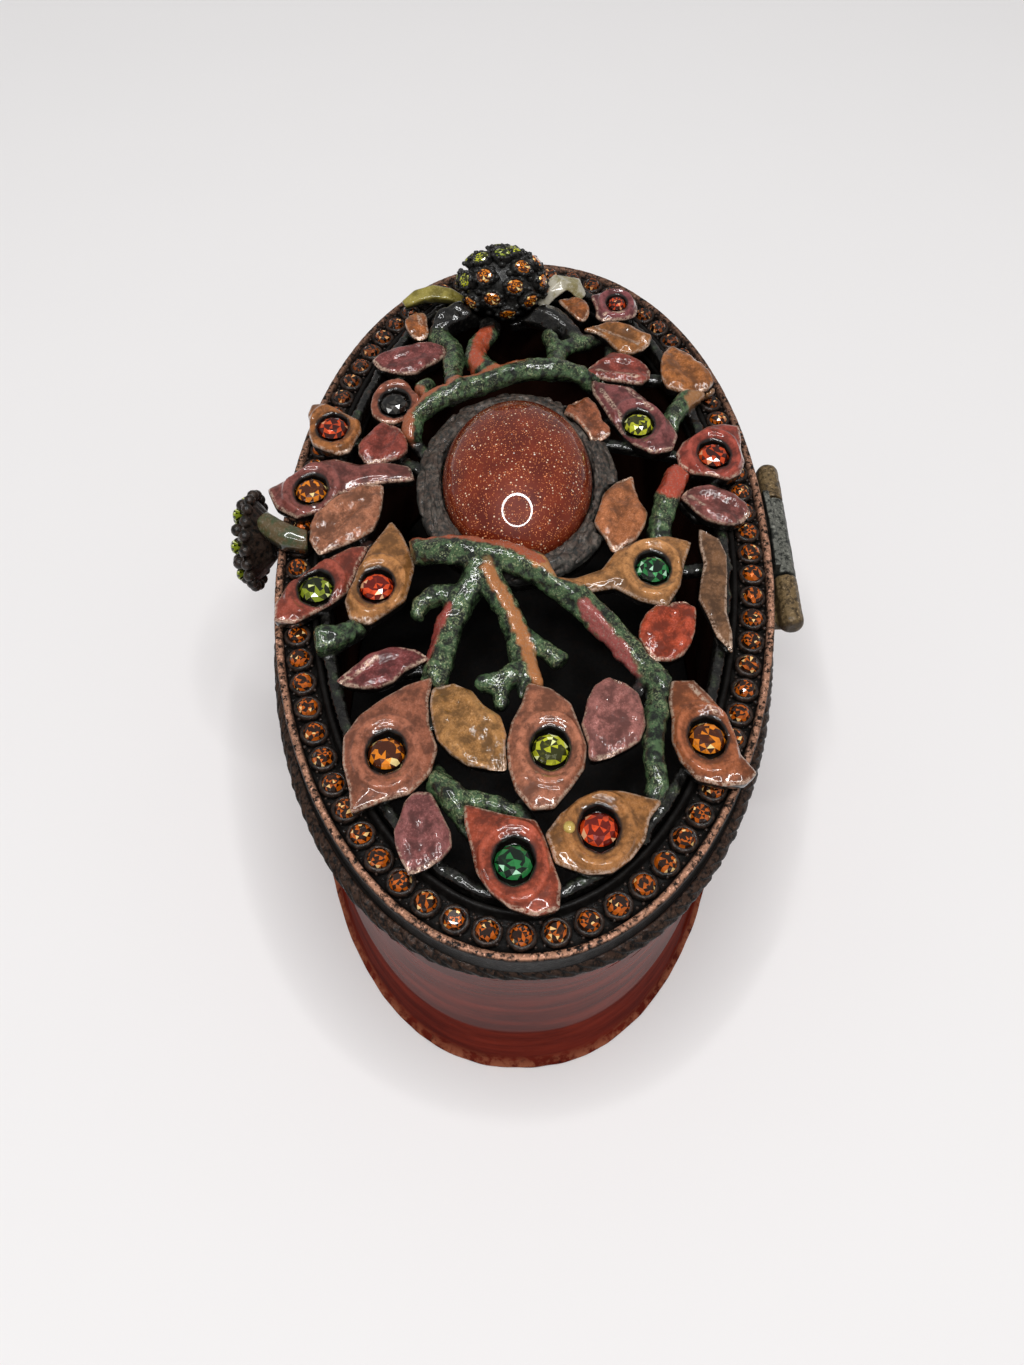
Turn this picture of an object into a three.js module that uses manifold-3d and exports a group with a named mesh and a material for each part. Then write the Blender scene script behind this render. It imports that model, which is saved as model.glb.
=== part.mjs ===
// Enamelled trinket box: an oval flared body with a hinged lid of cast branches, jewelled leaves,
// a goldstone cabochon in a woven nest, and a channel of crystals round its edge.
// Millimetres, +Z up. +X is the near end, +Y the hinge side, and the foot stands on z = 0.
import * as THREE from 'three';
import { mergeVertices } from 'three/addons/utils/BufferGeometryUtils.js';
import Module from 'manifold-3d';

const wasm = await Module();
wasm.setup();

// Driving sizes of the oval and its height
const halfLength = 53.3;
const halfWidth = 29.5;
const boxHeight = 40;
const lidDepth = 3;
const clearance = 0.3;
// An ellipse has power 2. The body is a little squarer all round, the lid only in its far half
const bodyPower = 2.18;
const lidNearPower = 2;
const stations = 44;

// Body wall: insets are measured inwards from the lid's outline
const footHeight = 1.2;
const footInset = 0.5;
const footBand = 5;
const waistInset = 2.4;
const waistHeight = 17;
const shoulderInset = 0.9;
const shoulderDrop = 2.4;
const wallThickness = 1.8;
const grooveInset = 0.9;
const mouthInset = 2.6;
const floorLedge = 1.8;
const floorThickness = 1.5;
const plateThickness = 1.5;

// Rope band under the lid
const ropeHeight = 2.4;
const ropeProud = 0.35;
const ropePitch = 2.7;
const ropeDip = 0.45;

// Lid casting: copper edge, crystal channel, inner wall, ledge and locating flange
const edgeWidth = 0.8;
const edgeRound = 0.25;
const channelWidth = 3.6;
const channelDepth = 0.9;
const innerWall = 0.6;
const innerWallRise = 0.4;
const ledgeDrop = 1.3;
const ledgeWidth = 1.6;
const ledgeThickness = 1;
const flangeThickness = 1.2;
const flangeDrop = 1.6;
const channelCrystal = 2.4;
const crystalPitch = 3.3;
const crystalSink = 0.2;
const crystalSides = 4;
const tableShare = 0.6;

// Openwork: all leaves, the nest and the cabochon stand on one plane, the seat
const seatRise = 0.8;
const hoopWidth = 1.2;
const limbRadius = 1.75;
const limbRise = 0.35;
const archRise = 3.6;
const rodRadius = 1.05;
const limbSides = 5;
const limbSteps = 1.25;

// Leaves and their crystals
const leafEdge = 1.3;
const leafCrown = 1.9;
const leafDroop = 0.5;
const leafSlope = 1;
const leafUnder = 0.25;
const leafPoints = 14;
const slopeShare = 0.32;
const leafCrystal = 3.7;
const crystalHeight = 1.7;
const recessFloor = 0.5;
const recessLengthShare = 1.25;
const crystalFacets = 8;

// Goldstone cabochon and its nest
const cabochonLength = 25.6;
const cabochonWidth = 18.4;
const cabochonGirdle = 0.9;
const cabochonDome = 6.4;
const cabochonRings = 6;
const cabochonPlaceShare = [-0.124, -0.034];
const trayThickness = 1.5;
const trayLip = 2.2;
const nestWidth = 2.8;
const nestCore = 0.8;
const nestHeight = 1.7;
const nestRipple = 0.25;
const nestTwists = 12;

// Hinge on the +Y side
const knuckleRadius = 1.5;
const pinRadius = 0.6;
const pinClearance = 0.05;
const hingeStart = -14;
const lidKnuckleStart = -8;
const lidKnuckleEnd = 4.8;
const hingeEnd = 12;
const knuckleCap = 0.8;
const hingeLeafThickness = 0.8;
const webDrop = 1;
const knuckleSides = 12;

// Thumb piece on the -Y side
const rosetteRadius = 5.8;
const rosetteNeck = 2.3;
const rosetteDepth = 2.2;
const rosetteEdge = 0.9;
const rosetteDome = 1.2;
const domeShoulderShare = 0.7;
const rosetteBoss = 1.3;
const rosettePlace = 1;
const rosetteDrop = 1.3;
const rosetteBeads = 14;
const beadShare = 0.07;
const stemRadius = 1.4;
const stemSwell = 1.2;
const stemPlace = 3.4;
const stemLean = 2.4;
const stemLift = 0.8;

// Jewelled berry at the far end, with its sepals
const berryRadius = 4.1;
const berryWidthShare = 1.25;
const berryRise = 3.7;
const berryPlaceShare = [-0.785, -0.12];
const calyxRadius = 3.2;
const cupRadius = 1.2;
const cupHeight = 1.1;
const cupCount = 14;
const cupSpreadShare = 1.2;
const sepalRadius = 1.1;
const sepalWidthShare = 1.7;

// Overrun of every cut past the face that it opens
const overrun = 2;

// Heights that follow from the sizes above
const partingZ = boxHeight - lidDepth;
const seatZ = boxHeight + seatRise;
const limbZ = seatZ + limbRise;
const ropeBottom = partingZ - ropeHeight;
const channelInset = edgeWidth + channelWidth;
const hoopInset = channelInset + innerWall + clearance;
const axisY = halfWidth + clearance + knuckleRadius;

const bodyOval = { x: 0, y: 0, a: halfLength, b: halfWidth, power: bodyPower, nearPower: bodyPower };
const lidOval = { ...bodyOval, nearPower: lidNearPower };
const cabochonOval = {
  x: cabochonPlaceShare[0] * halfLength,
  y: cabochonPlaceShare[1] * halfWidth,
  a: cabochonLength / 2,
  b: cabochonWidth / 2,
  power: 2,
  nearPower: 2,
};

// A point of an oval at a turn, moved inwards along its normal
function ovalPoint(oval, angle, inset) {
  const c = Math.cos(angle);
  const s = Math.sin(angle);
  const power = c > 0 ? oval.nearPower : oval.power;
  const x = oval.a * Math.sign(c) * Math.abs(c) ** (2 / power);
  const y = oval.b * Math.sign(s) * Math.abs(s) ** (2 / power);
  const nx = Math.sign(c) * Math.abs(x / oval.a) ** (power - 1) / oval.a;
  const ny = Math.sign(s) * Math.abs(y / oval.b) ** (power - 1) / oval.b;
  const n = Math.hypot(nx, ny);
  return new THREE.Vector2(oval.x + x - nx / n * inset, oval.y + y - ny / n * inset);
}

// Angles that share an oval's outline, at an inset, into equal lengths
function evenAngles(oval, count, inset) {
  const fine = 1440;
  const lengths = [0];
  let last = ovalPoint(oval, 0, inset);
  for (let i = 1; i <= fine; i += 1) {
    const next = ovalPoint(oval, i / fine * 2 * Math.PI, inset);
    lengths.push(lengths[i - 1] + next.distanceTo(last));
    last = next;
  }
  const angles = [];
  let at = 0;
  for (let k = 0; k < count; k += 1) {
    const want = k / count * lengths[fine];
    while (lengths[at + 1] < want) at += 1;
    const part = (want - lengths[at]) / (lengths[at + 1] - lengths[at]);
    angles.push((at + part) / fine * 2 * Math.PI);
  }
  return angles;
}

// Length of an oval's outline
function ovalLength(oval, inset) {
  const angles = evenAngles(oval, stations, inset);
  const points = angles.map((angle) => ovalPoint(oval, angle, inset));
  return points.reduce((sum, point, i) => sum + point.distanceTo(points[(i + 1) % stations]), 0);
}

// A closed geometry from points and triangles, with its faces turned outwards
function closedGeometry(points, triangles) {
  let volume = 0;
  for (let i = 0; i < triangles.length; i += 3) {
    const [p, q, r] = [0, 1, 2].map((k) => points[triangles[i + k]]);
    volume += p.dot(new THREE.Vector3().crossVectors(q, r));
  }
  const index = volume > 0 ? triangles : [...triangles].reverse();
  const geometry = new THREE.BufferGeometry().setFromPoints(points);
  geometry.setIndex(index);
  return geometry;
}

// Triangles that join rings of equal size, each ring a run of points
function bandTriangles(ringCount, ringSize, closedAlong) {
  const triangles = [];
  const last = closedAlong ? ringCount : ringCount - 1;
  for (let i = 0; i < last; i += 1) {
    for (let j = 0; j < ringSize; j += 1) {
      const a = i * ringSize + j;
      const b = i * ringSize + (j + 1) % ringSize;
      const c = (i + 1) % ringCount * ringSize + j;
      const d = (i + 1) % ringCount * ringSize + (j + 1) % ringSize;
      triangles.push(a, b, d, a, d, c);
    }
  }
  return triangles;
}

// A closed ring round an oval: its section is a list of [inset, z], which may change with the turn
function ringGeometry(oval, section, count = stations) {
  const points = [];
  let size = 0;
  evenAngles(oval, count, 0).forEach((angle, i) => {
    const profile = typeof section === 'function' ? section(i, angle) : section;
    size = profile.length;
    profile.forEach(([inset, z]) => {
      const flat = ovalPoint(oval, angle, inset);
      points.push(new THREE.Vector3(flat.x, flat.y, z));
    });
  });
  return closedGeometry(points, bandTriangles(count, size, true));
}

// Solids for cutting and joining
function toSolid(geometry) {
  const bare = geometry.clone();
  bare.deleteAttribute('normal');
  bare.deleteAttribute('uv');
  const merged = mergeVertices(bare);
  return new wasm.Manifold(new wasm.Mesh({
    numProp: 3,
    vertProperties: new Float32Array(merged.attributes.position.array),
    triVerts: new Uint32Array(merged.index.array),
  }));
}

function toGeometry(solid) {
  const mesh = solid.getMesh();
  const geometry = new THREE.BufferGeometry();
  geometry.setAttribute('position', new THREE.BufferAttribute(mesh.vertProperties, mesh.numProp));
  geometry.setIndex(new THREE.BufferAttribute(mesh.triVerts, 1));
  return geometry;
}

function joined(solids) {
  return solids.reduce((sum, solid) => sum.add(solid));
}

function boxSolid(low, high) {
  const size = new THREE.Vector3().subVectors(high, low);
  const geometry = new THREE.BoxGeometry(size.x, size.y, size.z);
  const middle = new THREE.Vector3().addVectors(low, high).multiplyScalar(1 / 2);
  return toSolid(geometry.translate(middle.x, middle.y, middle.z));
}

// A turned solid about +Z, from [radius, z] pairs that start and end on the axis
function turnedGeometry(profile, sides) {
  const points = profile.map(([radius, z]) => new THREE.Vector2(radius, z));
  return new THREE.LatheGeometry(points, sides).rotateX(Math.PI / 2);
}

// A limb: a sweep along a smooth curve whose radius runs through the given radii
function limbGeometry(points, radii, sides = limbSides, widthShare = 1) {
  const curve = new THREE.CatmullRomCurve3(points);
  const steps = Math.round((points.length - 1) * (sides < limbSides ? 1 : limbSteps));
  const frames = curve.computeFrenetFrames(steps, false);
  const rings = [];
  for (let i = 0; i <= steps; i += 1) {
    const along = i / steps;
    const centre = curve.getPointAt(along);
    const place = along * (radii.length - 1);
    const low = Math.min(Math.floor(place), radii.length - 2);
    const radius = THREE.MathUtils.lerp(radii[low], radii[low + 1], place - low);
    const side = new THREE.Vector3(-frames.tangents[i].y, frames.tangents[i].x, 0).normalize();
    const up = new THREE.Vector3().crossVectors(frames.tangents[i], side);
    for (let j = 0; j < sides; j += 1) {
      const turn = (j + 1 / 2) / sides * 2 * Math.PI;
      const point = centre.clone().addScaledVector(side, Math.cos(turn) * radius * widthShare);
      rings.push(point.addScaledVector(up, Math.sin(turn) * radius));
    }
  }
  const triangles = bandTriangles(steps + 1, sides, false);
  for (let j = 1; j < sides - 1; j += 1) {
    const end = steps * sides;
    triangles.push(0, j + 1, j, end, end + j, end + j + 1);
  }
  return closedGeometry(rings, triangles);
}

// Leaves: outlines are shares of the lid's half length and half width, read round each leaf.
// A leaf with a crystal gives its place in the same shares.
const enamel = {
  wine: 0x7a3a33, red: 0x9f3d29, rust: 0xa4512f, tan: 0xa96d3d, gold: 0xad8048,
  brown: 0x94583d, copper: 0xa2603f, mauve: 0x87484a, pink: 0x95565a, orange: 0xb0602c,
};
const glass = {
  amber: 0xb8560f, ruby: 0x8c2a12, olive: 0x6c781b, lime: 0xa0a528,
  emerald: 0x1d6436, flame: 0xc23c16, smoke: 0x3d3a36,
};
const leaves = [
  {
    name: 'wine_thumb', tint: enamel.wine, glass: glass.amber, crystalShare: [-0.074, -0.879],
    outlineShares: [[-0.08, -1.06], [-0.12, -0.97], [-0.165, -0.9], [-0.18, -0.81], [-0.16, -0.74],
      [-0.165, -0.66], [-0.17, -0.57], [-0.15, -0.46], [-0.125, -0.44], [-0.11, -0.56], [-0.09, -0.7],
      [-0.05, -0.8], [0, -0.85], [0.005, -0.93], [-0.03, -1.02]],
  },
  {
    name: 'gold_left', tint: enamel.tan, glass: glass.flame, crystalShare: [0.203, -0.568],
    outlineShares: [[0.012, -0.54], [0.03, -0.5], [0.06, -0.49], [0.105, -0.45], [0.15, -0.43],
      [0.195, -0.445], [0.24, -0.46], [0.275, -0.53], [0.305, -0.61], [0.285, -0.66], [0.24, -0.685],
      [0.18, -0.655], [0.115, -0.63], [0.07, -0.59]],
  },
  {
    name: 'gold_right', tint: enamel.tan, glass: glass.emerald, crystalShare: [0.144, 0.497],
    outlineShares: [[0.165, 0.08], [0.172, 0.18], [0.155, 0.26], [0.14, 0.31], [0.105, 0.335],
      [0.08, 0.39], [0.055, 0.47], [0.045, 0.57], [0.05, 0.66], [0.1, 0.63], [0.155, 0.615],
      [0.21, 0.58], [0.25, 0.52], [0.235, 0.46], [0.215, 0.42], [0.195, 0.36], [0.19, 0.3],
      [0.21, 0.22], [0.21, 0.1]],
  },
  {
    name: 'copper_near', tint: enamel.copper, glass: glass.lime, crystalShare: [0.597, 0.093],
    outlineShares: [[0.44, 0.015], [0.45, 0.085], [0.49, 0.17], [0.55, 0.2], [0.61, 0.225],
      [0.65, 0.195], [0.69, 0.145], [0.735, 0.07], [0.72, 0.02], [0.69, -0.02], [0.65, -0.045],
      [0.6, -0.055], [0.55, -0.055], [0.51, -0.015], [0.47, 0]],
  },
  {
    name: 'brown_near_left', tint: enamel.brown, glass: glass.amber, crystalShare: [0.611, -0.473],
    outlineShares: [[0.43, -0.33], [0.465, -0.46], [0.505, -0.545], [0.55, -0.615], [0.6, -0.632],
      [0.655, -0.607], [0.695, -0.585], [0.735, -0.585], [0.715, -0.5], [0.705, -0.42], [0.68, -0.35],
      [0.63, -0.305], [0.59, -0.3], [0.55, -0.33], [0.51, -0.345], [0.47, -0.34]],
  },
  {
    name: 'red_near', tint: enamel.red, glass: glass.emerald, crystalShare: [0.832, -0.028],
    outlineShares: [[0.715, -0.2], [0.72, -0.15], [0.735, -0.08], [0.74, -0.02], [0.745, 0.035],
      [0.755, 0.07], [0.8, 0.075], [0.86, 0.12], [0.925, 0.11], [0.93, 0.03], [0.92, -0.03],
      [0.905, -0.06], [0.885, -0.11], [0.855, -0.145], [0.81, -0.165], [0.76, -0.19]],
  },
  {
    name: 'gold_near_right', tint: enamel.gold, glass: glass.flame, crystalShare: [0.765, 0.252],
    outlineShares: [[0.816, 0.06], [0.795, 0.065], [0.754, 0.093], [0.719, 0.154], [0.692, 0.2155],
      [0.68, 0.282], [0.685, 0.349], [0.6985, 0.394], [0.692, 0.427], [0.688, 0.466], [0.712, 0.466],
      [0.733, 0.427], [0.7675, 0.41], [0.795, 0.394], [0.823, 0.349], [0.85, 0.282], [0.854, 0.227],
      [0.843, 0.171], [0.833, 0.115]],
  },
  {
    name: 'copper_right', tint: enamel.copper, glass: glass.amber, crystalShare: [0.567, 0.642],
    outlineShares: [[0.432, 0.535], [0.428, 0.61], [0.47, 0.67], [0.51, 0.715], [0.56, 0.74],
      [0.6, 0.75], [0.655, 0.81], [0.665, 0.715], [0.665, 0.62], [0.635, 0.56], [0.595, 0.53],
      [0.555, 0.515], [0.51, 0.53], [0.475, 0.52]],
  },
  {
    name: 'red_left', tint: enamel.red, glass: glass.olive, crystalShare: [0.211, -0.8],
    outlineShares: [[0.295, -0.94], [0.26, -0.95], [0.2, -0.91], [0.165, -0.85], [0.125, -0.775],
      [0.1, -0.715], [0.078, -0.625], [0.11, -0.63], [0.18, -0.665], [0.23, -0.69], [0.245, -0.73],
      [0.275, -0.8], [0.3, -0.87]],
  },
  {
    name: 'mauve_right', tint: enamel.mauve, glass: glass.lime, crystalShare: [-0.305, 0.485],
    outlineShares: [[-0.465, 0.29], [-0.45, 0.38], [-0.44, 0.47], [-0.39, 0.535], [-0.33, 0.615],
      [-0.275, 0.65], [-0.235, 0.635], [-0.215, 0.59], [-0.215, 0.53], [-0.235, 0.47],
      [-0.28, 0.41], [-0.33, 0.365], [-0.385, 0.325], [-0.43, 0.29]],
  },
  {
    name: 'red_hinge', tint: enamel.red, glass: glass.ruby, crystalShare: [-0.205, 0.793],
    outlineShares: [[-0.25, 0.67], [-0.275, 0.725], [-0.305, 0.785], [-0.315, 0.87], [-0.3, 0.93],
      [-0.25, 0.91], [-0.19, 0.92], [-0.15, 0.895], [-0.13, 0.835], [-0.145, 0.765], [-0.15, 0.69],
      [-0.18, 0.64], [-0.22, 0.64]],
  },
  {
    name: 'amber_left', tint: enamel.tan, glass: glass.ruby, crystalShare: [-0.279, -0.83],
    outlineShares: [[-0.365, -0.94], [-0.37, -0.9], [-0.345, -0.82], [-0.315, -0.745],
      [-0.29, -0.7], [-0.26, -0.72], [-0.22, -0.74], [-0.19, -0.76], [-0.205, -0.83],
      [-0.215, -0.88], [-0.24, -0.92], [-0.29, -0.93], [-0.34, -0.95]],
  },
  {
    name: 'brown_far_left', tint: enamel.rust, glass: glass.smoke, crystalShare: [-0.366, -0.576],
    outlineShares: [[-0.465, -0.575], [-0.44, -0.52], [-0.4, -0.495], [-0.395, -0.45], [-0.36, -0.465],
      [-0.33, -0.51], [-0.305, -0.55], [-0.305, -0.62], [-0.325, -0.665], [-0.37, -0.68],
      [-0.43, -0.655]],
  },
  {
    name: 'mauve_far_right', tint: enamel.mauve, glass: glass.ruby, crystalShare: [-0.762, 0.425],
    crystalScale: 0.68,
    outlineShares: [[-0.8, 0.305], [-0.815, 0.37], [-0.825, 0.43], [-0.81, 0.485], [-0.77, 0.52],
      [-0.72, 0.51], [-0.705, 0.46], [-0.7, 0.39], [-0.7, 0.33], [-0.74, 0.33], [-0.77, 0.32]],
  },
  {
    name: 'tan_thumb', tint: enamel.tan,
    outlineShares: [[-0.135, -0.61], [-0.06, -0.585], [0, -0.59], [0.04, -0.61], [0.06, -0.65],
      [0.085, -0.72], [0.11, -0.81], [0.08, -0.85], [0.03, -0.86], [-0.02, -0.84], [-0.07, -0.74]],
  },
  {
    name: 'wine_left_small', tint: enamel.wine,
    outlineShares: [[0.44, -0.68], [0.415, -0.63], [0.375, -0.56], [0.36, -0.47], [0.37, -0.37],
      [0.39, -0.355], [0.41, -0.425], [0.445, -0.475], [0.46, -0.545], [0.455, -0.63]],
  },
  {
    name: 'gold_near', tint: enamel.gold,
    outlineShares: [[0.4545, -0.328], [0.447, -0.245], [0.473, -0.172], [0.499, -0.144], [0.514, -0.1],
      [0.536, -0.066], [0.569, -0.061], [0.599, -0.039], [0.63, -0.044], [0.6475, -0.066],
      [0.634, -0.144], [0.627, -0.228], [0.599, -0.261], [0.577, -0.3], [0.532, -0.323],
      [0.495, -0.334]],
  },
  {
    name: 'pink_near', tint: enamel.pink,
    outlineShares: [[0.425, 0.31], [0.445, 0.26], [0.47, 0.232], [0.505, 0.225], [0.53, 0.2],
      [0.56, 0.205], [0.59, 0.22], [0.62, 0.235], [0.61, 0.29], [0.597, 0.34], [0.58, 0.395],
      [0.55, 0.425], [0.5, 0.425], [0.46, 0.405], [0.435, 0.36]],
  },
  {
    name: 'pink_near_left', tint: enamel.pink,
    outlineShares: [[0.69, -0.365], [0.69, -0.315], [0.735, -0.275], [0.79, -0.23], [0.82, -0.25],
      [0.85, -0.335], [0.855, -0.375], [0.825, -0.395], [0.785, -0.425], [0.74, -0.405],
      [0.71, -0.395]],
  },
  {
    name: 'red_right_small', tint: enamel.red,
    outlineShares: [[0.24, 0.5], [0.23, 0.56], [0.23, 0.64], [0.28, 0.645], [0.335, 0.62],
      [0.37, 0.58], [0.385, 0.5], [0.355, 0.45], [0.315, 0.425], [0.285, 0.44], [0.255, 0.47]],
  },
  {
    name: 'twist_right', tint: enamel.rust,
    outlineShares: [[0.02, 0.7], [0.045, 0.765], [0.09, 0.79], [0.15, 0.785], [0.2, 0.775],
      [0.25, 0.765], [0.315, 0.775], [0.36, 0.765], [0.34, 0.735], [0.28, 0.705], [0.25, 0.68],
      [0.21, 0.665], [0.165, 0.685], [0.11, 0.705], [0.06, 0.69]],
  },
  {
    name: 'wine_hinge', tint: enamel.wine,
    outlineShares: [[-0.05, 0.665], [-0.085, 0.64], [-0.11, 0.76], [-0.09, 0.835], [-0.06, 0.895],
      [-0.035, 0.915], [-0.01, 0.89], [0.01, 0.84], [0.005, 0.775], [-0.005, 0.73], [-0.03, 0.69]],
  },
  {
    name: 'orange_cabochon', tint: enamel.orange,
    outlineShares: [[-0.14, 0.445], [-0.13, 0.41], [-0.11, 0.36], [-0.07, 0.315], [-0.035, 0.268],
      [0.01, 0.275], [0.04, 0.31], [0.08, 0.335], [0.1, 0.365], [0.065, 0.43], [0.02, 0.475],
      [-0.02, 0.497], [-0.055, 0.465], [-0.1, 0.45]],
  },
  {
    name: 'tan_cabochon', tint: enamel.tan,
    outlineShares: [[-0.345, 0.165], [-0.385, 0.205], [-0.4, 0.275], [-0.36, 0.315], [-0.31, 0.335],
      [-0.285, 0.375], [-0.26, 0.325], [-0.25, 0.25], [-0.29, 0.2]],
  },
  {
    name: 'red_far_right', tint: enamel.red,
    outlineShares: [[-0.5, 0.265], [-0.55, 0.35], [-0.57, 0.4], [-0.55, 0.49], [-0.51, 0.555],
      [-0.47, 0.545], [-0.45, 0.5], [-0.46, 0.45], [-0.465, 0.38], [-0.48, 0.3]],
  },
  {
    name: 'orange_right_far', tint: enamel.orange,
    outlineShares: [[-0.605, 0.665], [-0.57, 0.73], [-0.53, 0.79], [-0.48, 0.835], [-0.445, 0.825],
      [-0.43, 0.76], [-0.43, 0.69], [-0.44, 0.63], [-0.49, 0.605], [-0.53, 0.61], [-0.56, 0.62]],
  },
  {
    name: 'tan_far_right', tint: enamel.tan,
    outlineShares: [[-0.66, 0.265], [-0.685, 0.34], [-0.69, 0.42], [-0.68, 0.475], [-0.65, 0.535],
      [-0.63, 0.59], [-0.605, 0.555], [-0.58, 0.52], [-0.565, 0.46], [-0.58, 0.41], [-0.605, 0.385],
      [-0.645, 0.34]],
  },
  {
    name: 'mauve_far_left', tint: enamel.mauve,
    outlineShares: [[-0.53, -0.7], [-0.56, -0.645], [-0.585, -0.55], [-0.6, -0.45],
      [-0.58, -0.37], [-0.545, -0.375], [-0.51, -0.45], [-0.48, -0.5], [-0.48, -0.57],
      [-0.495, -0.645]],
  },
  {
    name: 'red_left_small', tint: enamel.red,
    outlineShares: [[-0.3, -0.64], [-0.3, -0.57], [-0.26, -0.52], [-0.2, -0.505], [-0.18, -0.56],
      [-0.165, -0.65], [-0.195, -0.705], [-0.24, -0.705], [-0.265, -0.67], [-0.28, -0.65]],
  },
  {
    name: 'orange_far_left', tint: enamel.orange,
    outlineShares: [[-0.724, -0.522], [-0.717, -0.482], [-0.675, -0.468], [-0.63, -0.46],
      [-0.615, -0.5], [-0.625, -0.53], [-0.659, -0.562], [-0.685, -0.57], [-0.716, -0.545]],
  },
  {
    name: 'orange_far', tint: enamel.orange,
    outlineShares: [[-0.785, 0.15], [-0.79, 0.23], [-0.77, 0.285], [-0.725, 0.29], [-0.695, 0.255],
      [-0.72, 0.215], [-0.75, 0.18]],
  },
];

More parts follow.
